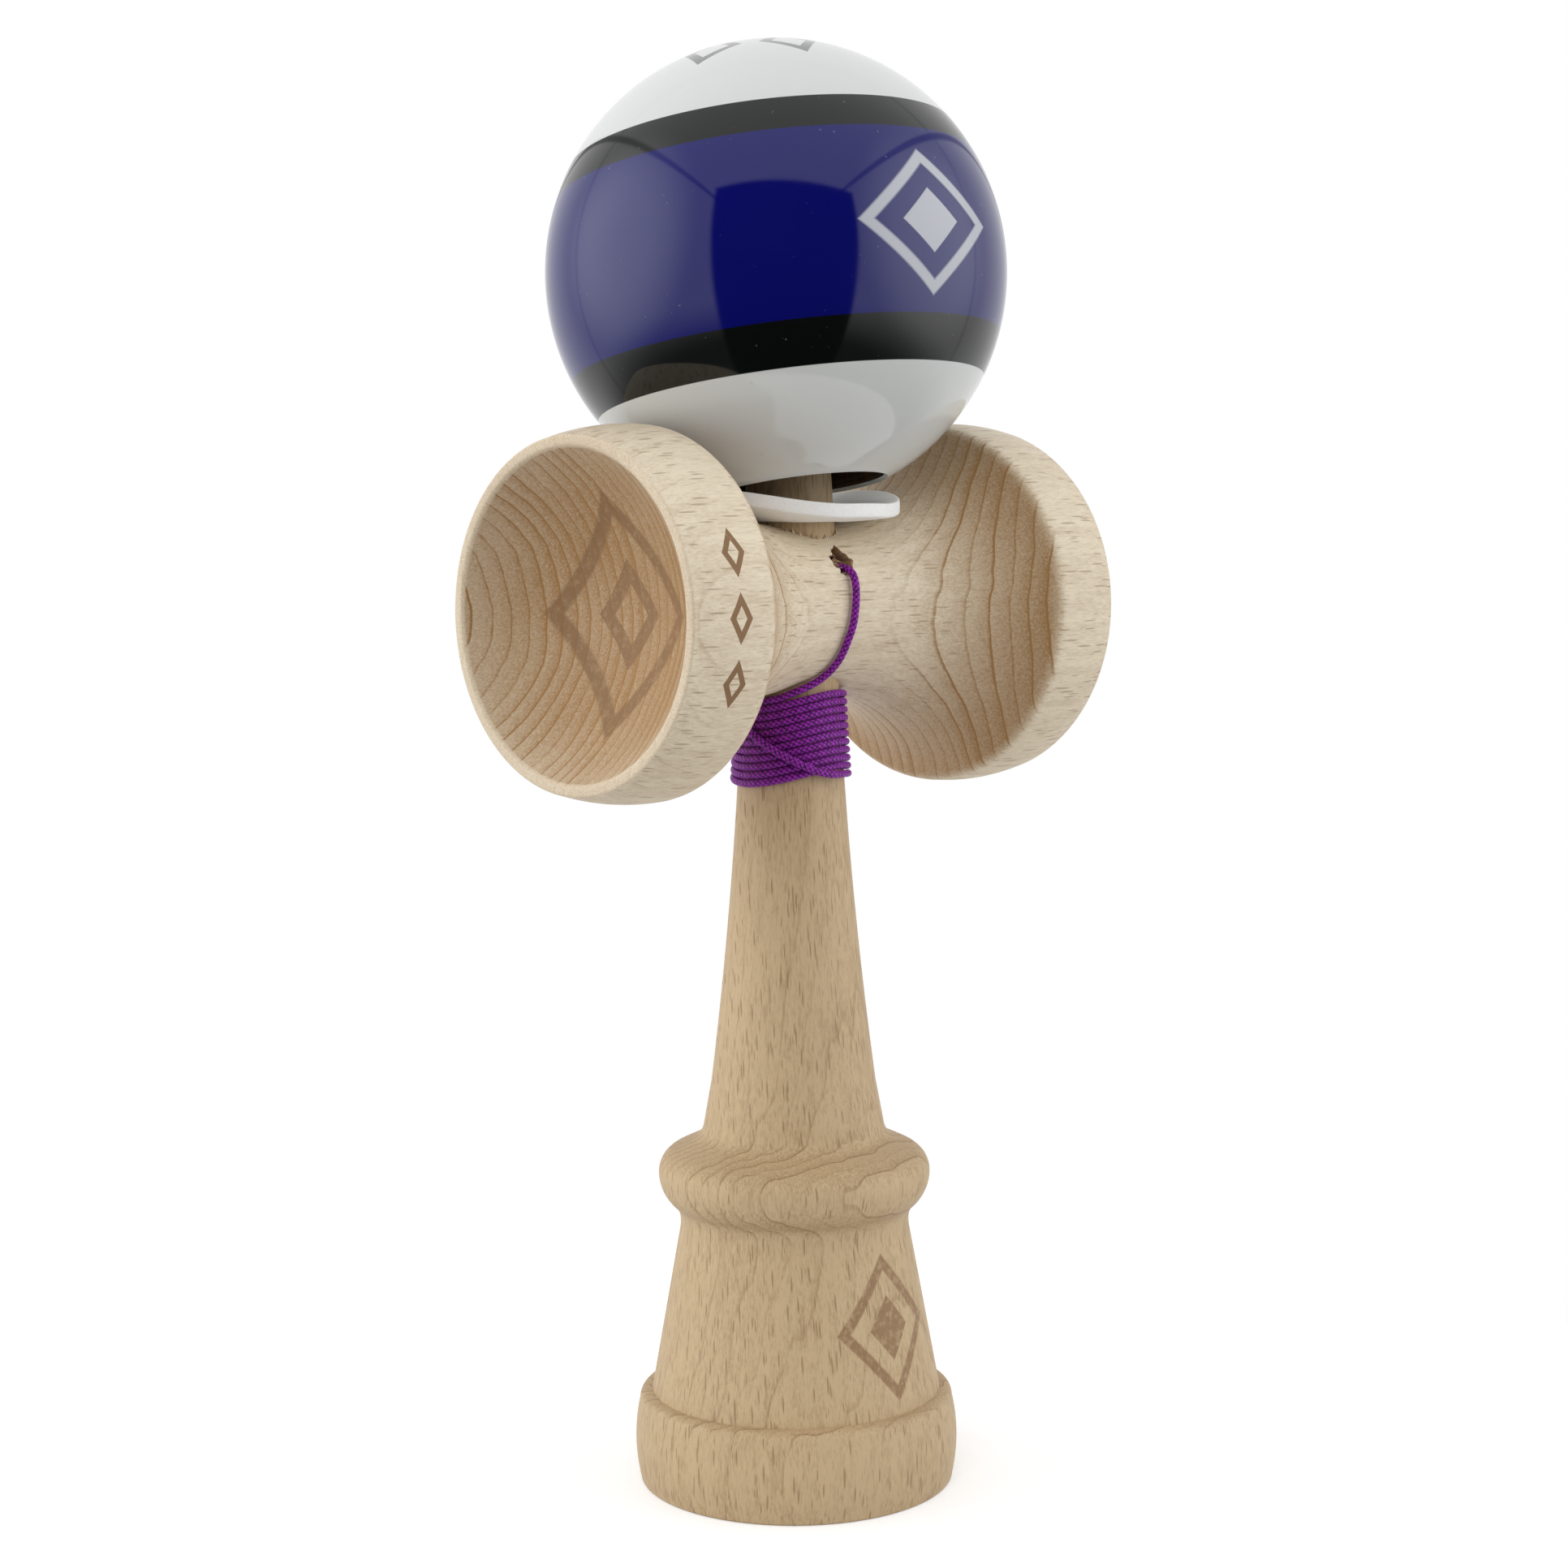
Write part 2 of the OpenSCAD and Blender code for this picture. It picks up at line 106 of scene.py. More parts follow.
# Diamonds in millimetres: half width, half height, and for an outline its line as a share of the size
KEN_DIAMONDS = ((8.0, 9.5, 0.22), (3.4, 4.2))
BOWL_DIAMONDS = ((13.0, 15.5, 0.2), (5.5, 7.0, 0.45))
BAND_DIAMOND = (1.7, 3.1, 0.5)
BALL_DIAMONDS = ((10.0, 9.0, 0.2), (4.2, 4.0))
WREATH_DIAMOND = (4.0, 5.0, 0.4)
# Where they lie, in millimetres: the middle's height on the cone
KEN_DIAMONDS_Z = 23.5
# In the bowl, the reach from the axis and the limit along X
BOWL_REACH, BOWL_X = 20.5, -20.0
# On the small cup's band, the place along X, radius, spacing, half the row and least reach from the axis
BAND_X, BAND_R, BAND_STEP, BAND_HALF, BAND_FROM = 32.0, 23.5, 8.0, 12.0, 21.0
# On the ball, the radius that the side figure is drawn at, and the wreath's radius and lowest height
BALL_SIDE_R, WREATH_R, WREATH_LOW = 28.0, 13.0, 17.5
# Direction of the silver figure round the ball's axis, and the number of diamonds in the wreath
FIGURE_BEARING, WREATH_COUNT = math.radians(-95.0), 8
# Strength of the figures and of the dust over what lies under them
BAND_STRENGTH, FIGURE_STRENGTH, WREATH_STRENGTH, DUST_STRENGTH = 2.0, 0.9, 0.85, 0.2
# Half width in millimetres of the soft edge between two coats of lacquer
COAT_SOFT = 0.06
# Sanded cup rims: offset of their middle, where end grain starts and stops falling off, and what is left
RIM_MIDDLE, RIM_FROM, RIM_TO, RIM_LEFT = 0.4, 37.6, 37.95, 0.2
# Reach in millimetres of the painted shade in the string hole's torn mouth, full at the first depth below
# the surface and gone at the second
HOLE_SHADE_R, HOLE_SHADE_DEEP, HOLE_SHADE_SHALLOW = 3.4, 0.35, 0.1

# Tent: shift and softness of its dark opening, what light is left in it, the least depth it is seen at,
# and how far back the walls' far ends are
WINDOW_SHIFT, WINDOW_SOFT, WINDOW_LEFT, WINDOW_NEAR = 0.12, 0.04, 0.01, 0.02
FAR_END = 0.42
# Strength of the walls low down and high up, and as reflections see them
WALL_LOW, WALL_HIGH, WALL_MIRRORED = 0.7, 0.84, 0.95
# Soft boxes to the left and right: sideways sign and strength, how far ahead and up, and their soft edge
BOXES, BOX_AHEAD, BOX_UP, BOX_EDGE = ((-1.0, 1.4), (1.0, 1.15)), 0.15, 0.2, 0.72
# The camera's sensor width in millimetres, and the nearest it sees in metres
SENSOR_WIDTH, CLIP_START = 36.0, 0.01
# Fill lamp: size and distance in metres, and how far left and up of the camera's direction it stands
LAMP_SIZE, LAMP_DISTANCE, LAMP_LEFT, LAMP_UP = 0.5, 0.9, 0.15, 0.5
# Floor: corners of its round edge, its paleness, and the glow that brings it up to white
FLOOR_CORNERS, FLOOR_PALE, FLOOR_GLOW = 96, 0.75, 0.39
WHITE = (1.0, 1.0, 1.0, 1.0)

# Route of the string, in millimetres: out of the waist and down to the winding
LEAD_ROUTE = ((0.8, -4, 122.9), (0.8, -6, 122.8), (0.8, -8, 122.7), (0.8, -9.4, 122.5), (0.8, -10.4, 122.1),
              (0.8, -11, 121.3), (0.7, -11.4, 120), (0.5, -11.6, 118.6), (0.3, -11.65, 117.2),
              (0, -11.5, 115.2), (-0.4, -10.9, 113.1), (-0.7, -9.9, 111), (-1.2, -8.6, 109.3),
              (-2, -7.4, 108.1), (-3.2, -6.6, 107.3), (-4.4, -5.8, 106.7))
# From the winding round the grip's back and up to the ball's back
RISE_ROUTE = ((-6.6, 5.1, 105), (-5.1, 6.9, 105.6), (-3.5, 8.2, 106.4), (-2.3, 9.2, 107.8),
              (-1.9, 10.3, 109.8), (-1.9, 12.3, 114), (-1.9, 14.4, 118.5), (-1.9, 16.5, 123),
              (-1.9, 18.6, 127.5), (-2, 20.7, 132), (-2, 22.8, 136.5), (-2, 24.9, 141), (-2, 27.9, 147.4))
# Over the ball's back, into the pole's hole and down to the bead's knot
OVER_ROUTE = ((-2, 28.1, 148), (-2, 29.1, 150.4), (-2, 29.9, 153.2), (-2, 30.5, 156.2), (-2, 30.8, 159),
              (-2, 30.8, 162), (-2, 30.5, 164.8), (-2, 29.9, 167.8), (-2, 29.1, 170.6), (-2, 27.9, 173.5),
              (-2, 26.3, 176.5), (-2, 24.4, 179.3), (-2, 22.2, 181.9), (-2, 19.7, 184.2), (-2, 17, 186.2),
              (-2, 14.1, 187.9), (-2, 11, 189.3), (-2, 8.6, 190.2), (-2, 7, 190.6), (-2, 6.1, 190.6),
              (-2, 5.4, 190.2), (-2, 4.8, 189.6), (-2, 4.5, 188.8), (-2, 4.1, 186.2), (-2, 3.6, 183.2),
              (-2, 3.1, 180.2), (-2, 2.7, 177.3), (-2, 2.2, 174.3), (-2, 1.7, 171.4), (-2, 1.1, 167.3))
# The winding starts at this angle and runs backwards; its turns tilt and follow the waist's underside
WIND_START = math.radians(213)
WIND_TILT, WIND_TILT_SIDE = 0.5 * MM, math.radians(330)
WIND_SADDLE, WIND_SADDLE_SIDE = 0.55 * MM, math.radians(270)
# The string's middle on the grip stands off by this share of its diameter
WIND_STANDOFF = 0.53
# The last strand rises onto the turns, and then climbs across them
CROSS_LIFT, CROSS_LIFT_FROM, CROSS_LIFT_TO = 1.0 * MM, math.radians(3862), math.radians(3912)
CROSS_START, CROSS_EASE = math.radians(3918), math.radians(9)
CROSS_CLIMB = 0.111 * MM * 180 / math.pi
# Spacing of the points on the string, and lengths over which its sides turn into and out of the winding
ROUTE_STEP, TURN_IN, TURN_OUT = 0.16 * MM, 6.0 * MM, 12.0 * MM
# Points on a knot's loop, and pairs of stitches along it
KNOT_POINTS, KNOT_STITCHES = 120, 9.0


# Properties

def length(text, millimetres):
    """A length, with its default given in millimetres."""
    return FloatProperty(name=text, default=millimetres * MM, unit="LENGTH", precision=5)


def angle(text, degrees):
    """An angle, with its default given in degrees."""
    return FloatProperty(name=text, default=math.radians(degrees), subtype="ANGLE")


def amount(text, default):
    """A plain number."""
    return FloatProperty(name=text, default=default)


def colour(text, red, green, blue):
    """A linear colour."""
    return FloatVectorProperty(name=text, default=(red, green, blue, 1.0), size=4, subtype="COLOR",
                               min=0.0, max=1.0)


class KenSizes(PropertyGroup):
    """Sizes of the turned handle."""
    base_d: length("Diameter of the flat rim that the handle stands on", 42.2)
    base_h: length("Height of the barrel-shaped foot", 12.3)
    base_swell: length("How far the foot's side swells out", 0.6)
    shoulder_soft: length("Height of the rounded shoulder on top of the foot", 1.4)
    cone_d: length("Diameter of the cone where it leaves the foot", 38.8)
    cone_h: length("Height of the cone above the foot", 22.5)
    neck_d: length("Diameter of the neck at the top of the cone", 30.6)
    neck_h: length("Height of the neck", 2.7)
    neck_draw: length("How far the neck's hollow is drawn in", 0.3)
    neck_place: amount("Share of the neck's height where its hollow is drawn to", 0.6)
    collar_d: length("Largest diameter of the collar", 36.4)
    collar_low_r: length("Radius of the collar's lower round", 5.7)
    collar_low_turn: angle("How far the lower round turns in towards the neck", 50.0)
    collar_high_r: length("Radius of the collar's upper round", 3.5)
    collar_high_turn: angle("How far the upper round turns in before the sloping shelf", 65.0)
    flare_d: length("Diameter at which the shelf meets the flare", 24.7)
    flare_soft: length("Softening between the shelf and the flare", 1.4)
    flare_h: length("Height of the flare's top above the collar's widest place", 12.3)
    grip_low_d: length("Diameter of the grip above its flare", 22.0)
    grip_top_d: length("Diameter of the grip where it enters the crossbar", 13.0)
    grip_l: length("Length of the grip above its flare", 51.5)
    grip_draw: length("How far the grip is drawn in between its ends", 0.56)
    cup_d: length("Diameter of the base cup's mouth", 37.4)
    cup_r: length("Radius of the base cup's bowl", 26.0)
    seat_top_d: length("Diameter of the seat at the top of the crossbar", 11.9)
    spike_tip_d: length("Diameter of the spike where its nose begins", 8.8)
    spike_nose: length("Length of the spike's round nose", 4.5)
    spike_point: length("Radius of the spike's flat point", 0.01)
    knot_hole_d: length("Diameter of the cross hole that holds the knot", 3.6)
    rim_soft: length("Softening of the foot's rim", 0.5)


class SaradoSizes(PropertyGroup):
    """Sizes of the turned crossbar."""
    waist_d: length("Diameter of the crossbar's waist", 22.0)
    waist_l: length("Length of the straight waist", 6.0)
    flank_r: length("Radius of the hollow flanks between waist and cups", 27.3)
    small_mouth_d: length("Outer diameter at the small cup's mouth", 44.6)
    small_back_d: length("Outer diameter at the back edge of the small cup", 47.4)
    small_swell: length("How far the small cup's band swells out", 0.45)
    small_bowl_d: length("Diameter of the small cup's bowl at its mouth", 41.9)
    small_bowl_r: length("Radius of the small cup's bowl", 26.0)
    big_mouth_d: length("Outer diameter at the big cup's mouth", 48.5)
    big_back_d: length("Outer diameter at the back edge of the big cup", 49.3)
    big_swell: length("How far the big cup's band swells out", 0.35)
    big_bowl_d: length("Diameter of the big cup's bowl at its mouth", 45.2)
    big_bowl_r: length("Radius of the big cup's bowl", 28.0)
    edge_soft: length("Softening of the cups' back edges", 1.6)
    rim_soft: length("Softening of the cups' mouth rims", 0.5)
    lip_soft: length("Softening of the bowls' inner edges", 0.3)
    seat_clearance: length("Clearance of the tapered seat, on the radius", 0.03)
    seat_tear: length("How far the seat's upper edge is torn out", 0.22)
    seat_tear_h: length("Height over which that tear dies away", 0.35)
    string_hole_d: length("Diameter of the string hole in the waist", 2.6)
    string_hole_x: length("Sideways place of the string hole", 0.8)
    string_hole_rise: length("Height of the string hole above the crossbar's axis", 5.7)
    chip: length("How far the string hole's mouth is torn out", 0.9)
    chip_depth: length("Depth over which that tear dies away", 0.7)


class TamaSizes(PropertyGroup):
    """Sizes of the lacquered ball."""
    lean: angle("Lean of the ball's axis towards the back", 9.0)
    bore_d: length("Diameter of the bore that the spike goes into", 21.8)
    bore_depth: length("Depth of the bore from its mouth", 42.0)
    bore_bevel: length("Bevel at the bore's mouth", 0.45)
    bore_end_bevel: length("Bevel at the bore's blind end", 2.5)
    pole_hole_d: length("Diameter of the string hole at the ball's pole", 2.6)
    pole_hole_l: length("Length of the string hole's straight inner end", 2.0)
    countersink_d: length("Diameter of the countersink round the pole hole", 6.2)
    countersink_h: length("Depth of the countersink", 1.8)
    upper_black_top: length("Upper edge of the upper black band, from the centre", 16.6)
    violet_top: length("Upper edge of the violet band, from the centre", 12.2)
    violet_low: length("Lower edge of the violet band, from the centre", -11.0)
    lower_black_low: length("Lower edge of the lower black band, from the centre", -16.3)


class WasherSizes(PropertyGroup):
    """Sizes of the soft ring."""
    hole_d: length("Diameter of the hole round the spike", 12.8)
    thickness: length("Thickness of the ring", 2.0)
    gap: length("Clearance between the ring and the crossbar", 0.2)
    bend: length("How far the front and back are bent up", 0.6)
    squareness: amount("Power that squares the ring's section; 1 is an oval", 0.2)


class StringSizes(PropertyGroup):
    """Sizes of the braided string and its knots."""
    diameter: length("Diameter of the string", 1.0)
    pitch: length("Pitch of the turns on the grip", 1.06)
    turns: amount("Turns on the grip, with the strand that crosses back", 11.15)
    drop: length("Height of the winding's start below the crossbar's axis", 11.0)
    strand: length("Length of two stitches of the braid", 1.4)
    relief: length("Height of the braid's stitches", 0.035)


class BeadSizes(PropertyGroup):
    """Sizes of the stop bead."""
    diameter: length("Diameter of the bead", 8.0)
    bead_l: length("Length of the bead along the string", 6.4)
    hole_d: length("Diameter of the bead's hole", 1.3)
    edge_soft: length("Softening of the bead's edges", 0.3)


class Finishes(PropertyGroup):
    """Colours of the finishes."""
    ken_pale: colour("Earlywood of the handle", 0.565, 0.42, 0.25)
    ken_dark: colour("Latewood and end grain of the handle", 0.31, 0.20, 0.10)
    sarado_pale: colour("Earlywood of the crossbar", 0.82, 0.72, 0.555)
    sarado_dark: colour("Latewood and end grain of the crossbar", 0.345, 0.187, 0.066)
    fleck: colour("Short dark flecks in the beech", 0.27, 0.165, 0.08)
    # Also the colour of the painted shade inside the crossbar's string hole
    burnt: colour("Marks burnt into the beech", 0.25, 0.14, 0.065)
    violet: colour("Wide band of the ball", 0.0035, 0.0045, 0.127)
    black: colour("Two narrow bands of the ball", 0.004, 0.005, 0.005)
    white: colour("Caps of the ball", 0.66, 0.68, 0.67)
    silver: colour("Figure on the violet band", 0.52, 0.54, 0.58)
    grey: colour("Figure round the ball's pole", 0.10, 0.10, 0.10)
    dust: colour("Dust in the ball's lacquer", 0.35, 0.35, 0.38)
    # Painted shade: the bore's bare wood is given a dark brown that stands for the shade deep inside it
    bore: colour("Bare wood inside the ball", 0.10, 0.058, 0.04)
    ring_white: colour("Soft ring", 0.93, 0.93, 0.92)
    purple: colour("Braided string", 0.40, 0.024, 0.53)
    # Painted shade in the gaps between the braid's stitches
    purple_gap_shade: colour("Gaps between the braid's stitches", 0.014, 0.001, 0.03)
    sheen: colour("Sheen of the string's fibres", 0.75, 0.45, 0.85)


class StageSettings(PropertyGroup):
    """Camera and light."""
    azimuth: angle("Direction of the camera round the object", -45.33)
    elevation: angle("Height angle of the camera", 5.256)
    distance: length("Distance of the camera from its target", 370.4)
    target_x: length("Sideways place of the camera's target", -1.34)
    target_z: length("Height of the camera's target", 93.99)
    roll: angle("Turn of the camera about its own axis", -0.483)
    lens: amount("Focal length of the lens, in millimetres", 64.15)
    window: amount("Tangent of the half angle of the tent's dark opening", 0.73)
    floor_radius: length("Radius of the round floor", 140.0)
    fill: amount("Power of the soft lamp above the camera, in watts", 2.2)


# Outlines, as arrays of radius and height

def shares(count):
    """Even shares from 0 to 1, as a column."""
    return np.linspace(0.0, 1.0, count)[:, None]


def straight(first, last, count):
    """Evenly spaced points on a line."""
    share = shares(count)
    return np.asarray(first) * (1.0 - share) + np.asarray(last) * share


def round_arc(centre, radius, start, end, count):
    """Circular arc: the centre plus the radius times cosine and sine of evenly spaced angles."""
    turn = np.linspace(start, end, count)
    return np.asarray(centre) + radius * np.stack([np.cos(turn), np.sin(turn)], axis=-1)


def soft_corner(first, corner, last, count):
    """Quadratic curve from first to last that is drawn towards the corner."""
    share = shares(count)
    return ((1.0 - share) ** 2 * np.asarray(first) + 2.0 * share * (1.0 - share) * np.asarray(corner)
            + share ** 2 * np.asarray(last))


def swell_curve(first, last, height, count):
    """Line bowed to its right by a parabola of the given height."""
    share = shares(count)
    run = np.asarray(last) - np.asarray(first)
    side = np.array([run[1], -run[0]]) / np.hypot(*run)
    return straight(first, last, count) + side * 4.0 * height * share * (1.0 - share)


def bowl_curve(mouth_d, radius, count):
    """Round bowl from its deepest point to its mouth at height 0: the circle's height above the mouth."""
    reach = np.linspace(0.0, 1.0, count) * mouth_d / 2.0
    depth = np.sqrt(radius ** 2 - reach ** 2) - math.sqrt(radius ** 2 - mouth_d ** 2 / 4.0)
    return np.stack([reach, depth], axis=-1)


def joined(*stretches):
    """One outline from several stretches, without the points that repeat."""
    points = np.concatenate(stretches)
    same_point = 1e-3 * MM
    apart = np.hypot(*np.diff(points, axis=0).T) > same_point
    return points[np.concatenate([[True], apart])]


# Points and meshes

def unit(vectors):
    """Vectors of length 1."""
    return vectors / np.linalg.norm(vectors, axis=-1, keepdims=True)


def steps(points):
    """Distances between neighbouring points."""
    return np.linalg.norm(np.diff(points, axis=0), axis=1)


def full_turn(count):
    """Evenly spaced angles round a circle."""
    return np.linspace(0.0, 2.0 * np.pi, count, endpoint=False)


def round_points(reach, turn, height):
    """Points at a distance from the Z axis, an angle round it and a height along it."""
    return np.stack(np.broadcast_arrays(reach * np.cos(turn), reach * np.sin(turn), height), axis=-1)


def lathe(outline, columns):
    """Surface of revolution: each outline point's radius turns about Z through evenly spaced angles."""
    return round_points(outline[:, :1], full_turn(columns), outline[:, 1:])


def placed(points, turn, move):
    """Points turned by a matrix and then moved."""
    return points @ np.asarray(turn).T + np.asarray(move)


def middle(low, high):
    """Middle of a box."""
    return (np.asarray(low) + np.asarray(high)) / 2.0


def grid_faces(rows, columns, ring):
    """Quads between neighbouring rows whose columns join round; ring joins the last row to the first."""
    row = np.arange(rows if ring else rows - 1)[:, None]
    column = np.arange(columns)[None, :]
    after = (row + 1) % rows
    beside = (column + 1) % columns
    quads = [row * columns + column, row * columns + beside, after * columns + beside,
             after * columns + column]
    return np.stack(np.broadcast_arrays(*quads), axis=-1).reshape(-1, 4)


def grid_mesh(name, points, ring=False):
    """Mesh from an array of rows, columns and coordinates; open ends are closed by a fan to the middle."""
    rows, columns = points.shape[:2]
    vertices = points.reshape(-1, 3)
    faces = grid_faces(rows, columns, ring).tolist()
    if not ring:
        vertices = np.concatenate([vertices, points[:1].mean(axis=1), points[-1:].mean(axis=1)])
        column = np.arange(columns)
        beside = (column + 1) % columns
        first, last = rows * columns, rows * columns + 1
        low_end = np.stack([np.full(columns, first), beside, column], axis=-1)
        top = (rows - 1) * columns
        high_end = np.stack([top + column, top + beside, np.full(columns, last)], axis=-1)
        faces += low_end.tolist() + high_end.tolist()
    mesh = bpy.data.meshes.new(name)
    mesh.from_pydata(vertices.tolist(), [], faces)
    return mesh


def smoothed(mesh, crease):
    """Smooth faces, with sharp edges where faces meet at more than the crease angle."""
    mesh.shade_smooth()
    mesh.set_sharp_from_angle(angle=math.radians(crease))


def new_piece(name, mesh, crease=WOOD_CREASE):
    """Object at the origin with smooth faces and sharp creases."""
    mesh.validate()
    smoothed(mesh, crease)
    piece = bpy.data.objects.new(name, mesh)
    bpy.context.scene.collection.objects.link(piece)
    return piece


def cut(piece, cutters):
    """Takes closed meshes out of a piece for good."""
    tools = [bpy.data.objects.new(mesh.name, mesh) for mesh in cutters]
    for tool in tools:
        bpy.context.scene.collection.objects.link(tool)
        change = piece.modifiers.new(tool.name, "BOOLEAN")
        change.operation = "DIFFERENCE"
        change.solver = "EXACT"
        change.object = tool
    graph = bpy.context.evaluated_depsgraph_get()
    result = bpy.data.meshes.new_from_object(piece.evaluated_get(graph))
    piece.modifiers.clear()
    piece.data = result
    for tool in tools:
        bpy.data.objects.remove(tool)
    smoothed(result, WOOD_CREASE)
    # Any slot that the cut leaves goes, so that the piece's own material comes first
    result.materials.clear()


def add_mesh(piece, mesh):
    """Adds a loose mesh to a piece's own."""
    both = bmesh.new()
    both.from_mesh(piece.data)
    both.from_mesh(mesh)
    both.to_mesh(piece.data)
    both.free()
    bpy.data.meshes.remove(mesh)


def finished(piece, materials, body, slot, *nodes):
    """Gives a piece its materials, and sets it on its body in place of its packed nodes; the slot is not
    used.
    """
    for material in materials:
        piece.data.materials.append(material)
    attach(piece, body)
    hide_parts(*nodes)


# Node building

def math_step(operation):
    """Method for an arithmetic sign, which adds one math node."""
    def step(self, *others):
        return self.nodes.math(operation, self, *others)
    return step


class Value:
    """One output of a node; arithmetic on it adds the math nodes that work it out."""

    def __init__(self, nodes, socket):
        self.nodes = nodes
        self.socket = socket

    __add__, __sub__ = math_step("ADD"), math_step("SUBTRACT")
    __mul__, __truediv__ = math_step("MULTIPLY"), math_step("DIVIDE")
    __mod__, __abs__ = math_step("FLOORED_MODULO"), math_step("ABSOLUTE")
    __lt__, __gt__ = math_step("LESS_THAN"), math_step("GREATER_THAN")


class Nodes:
    """Adds nodes to one tree and joins them; an input may be a Value, a number, a vector or a colour."""

    def __init__(self, tree):
        self.tree = tree
        tree.nodes.clear()

    def add(self, kind, inputs=(), **settings):
        """A node of one kind, with its settings and its inputs by name or number."""
        made = self.tree.nodes.new(kind)
        for name, value in settings.items():
            setattr(made, name, value)
        for name, value in dict(inputs).items():
            if isinstance(value, Value):
                self.tree.links.new(value.socket, made.inputs[name])
            else:
                made.inputs[name].default_value = value
        return made

    def value(self, output, kind, inputs=(), **settings):
        """One output of a new node, by name or number."""
        return Value(self, self.add(kind, inputs, **settings).outputs[output])

    def outputs(self, kind, inputs=(), **settings):
        """All the outputs of a new node by name."""
        return {socket.name: Value(self, socket) for socket in self.add(kind, inputs, **settings).outputs}

    def math(self, operation, *values):
        """One arithmetic step."""
        return self.value(0, "ShaderNodeMath", enumerate(values), operation=operation)

    def most(self, first, *others):
        """The greatest of the values."""
        for other in others:
            first = self.math("MAXIMUM", first, other)
        return first

    def vector(self, operation, *values):
        """One vector step; a dot product or a length comes out as a number."""
        output = "Value" if operation in ("DOT_PRODUCT", "LENGTH") else "Vector"
        return self.value(output, "ShaderNodeVectorMath", enumerate(values), operation=operation)

    def joined(self, x, y, z=0.0):
        """A vector from its three parts."""
        return self.value(0, "ShaderNodeCombineXYZ", {0: x, 1: y, 2: z})

    def parts(self, vector):
        """The three parts of a vector."""
        return self.outputs("ShaderNodeSeparateXYZ", {0: vector}).values()

    def flat_length(self, vector):
        """Distance of a place from the Z axis."""
        return self.vector("LENGTH", self.vector("MULTIPLY", vector, (1.0, 1.0, 0.0)))

    def noise(self, place, scale, detail=2.0, roughness=0.5):
        """Smooth noise between 0 and 1; the scale is one number, or one for each axis."""
        scaled = self.vector("MULTIPLY", place, scale if isinstance(scale, tuple) else (scale,) * 3)
        return self.value("Fac", "ShaderNodeTexNoise", {"Vector": scaled, "Scale": 1.0, "Detail": detail,
                                                        "Roughness": roughness})

    def ramp(self, value, low, high, to_low=0.0, to_high=1.0):
        """A smooth step from one level to another between two values."""
        return self.value(0, "ShaderNodeMapRange", {0: value, 1: low, 2: high, 3: to_low, 4: to_high},
                          interpolation_type="SMOOTHSTEP")

    def mix(self, share, first, second):
        """Two colours mixed by a share."""
        return self.value(2, "ShaderNodeMix", {0: share, 6: first, 7: second}, data_type="RGBA")

    def blend(self, share, first, second):
        """Two numbers mixed by a share."""
        return self.value(0, "ShaderNodeMix", {0: share, 2: first, 3: second}, data_type="FLOAT")

    def place(self, move=(0, 0, 0), turn=(0, 0, 0), scale=1.0, kind="POINT"):
        """Object coordinates, moved, turned and scaled."""
        coordinates = self.outputs("ShaderNodeTexCoord")["Object"]
        return self.value(0, "ShaderNodeMapping", {"Vector": coordinates, "Location": move, "Rotation": turn,
                                                   "Scale": (scale,) * 3}, vector_type=kind)

    def millimetres(self, move=(0.0, 0.0, 0.0), turn=(0.0, 0.0, 0.0)):
        """Object coordinates in millimetres, moved and turned."""
        return self.place(move, turn, 1.0 / MM)

    def diamond(self, across, along, half_width, half_height, line=None):
        """Mask of a diamond about 0: filled, or an outline whose line is a share of its size."""
        reach = abs(across / half_width) + abs(along / half_height)
        inner, outer = 0.97, 1.03
        inside = self.ramp(reach, inner, outer, 1.0, 0.0)
        if line is None:
            return inside
        return inside * self.ramp(reach, inner - line, outer - line)

    def diamonds(self, across, along, sizes):
        """Mask of several nested diamonds."""
        return self.most(*[self.diamond(across, along, *size) for size in sizes])

    def seen(self):
        """Mask of the rays from the camera, mirrored or let through, and of the mirrored ones alone."""
        path = self.outputs("ShaderNodeLightPath")
        mirrored = path["Is Glossy Ray"]
        return self.most(mirrored, path["Is Transmission Ray"], path["Is Camera Ray"]), mirrored

    def surface(self, inputs, height, bump, reach):
        """A Principled surface, with a bump from a height, to the material's output."""
        relief = self.value(0, "ShaderNodeBump", {"Height": height, "Strength": bump, "Distance": reach})
        shader = self.value(0, "ShaderNodeBsdfPrincipled", {**inputs, "Normal": relief})
        self.add("ShaderNodeOutputMaterial", {"Surface": shader})


def new_material(name):
    """An empty node material and its builder."""
    material = bpy.data.materials.new(name)
    material.use_nodes = True
    return material, Nodes(material.node_tree)


def shaded(tone, level):
    """A darker tone of a colour."""
    return tuple(level * part for part in tone[:3]) + (1.0,)


# Materials

BEECH_INPUTS = {"Place": "Vector", "Pale": "Color", "Dark": "Color", "Fleck": "Color",
                "Ring width": "Float", "Ring strength": "Float", "Waviness": "Float",
                "Fleck strength": "Float", "End grain": "Float", "Ray reach": "Float",
                "Ray height": "Float", "Pores": "Float"}
BEECH_OUTPUTS = {"Color": "Color", "Roughness": "Float", "Height": "Float"}


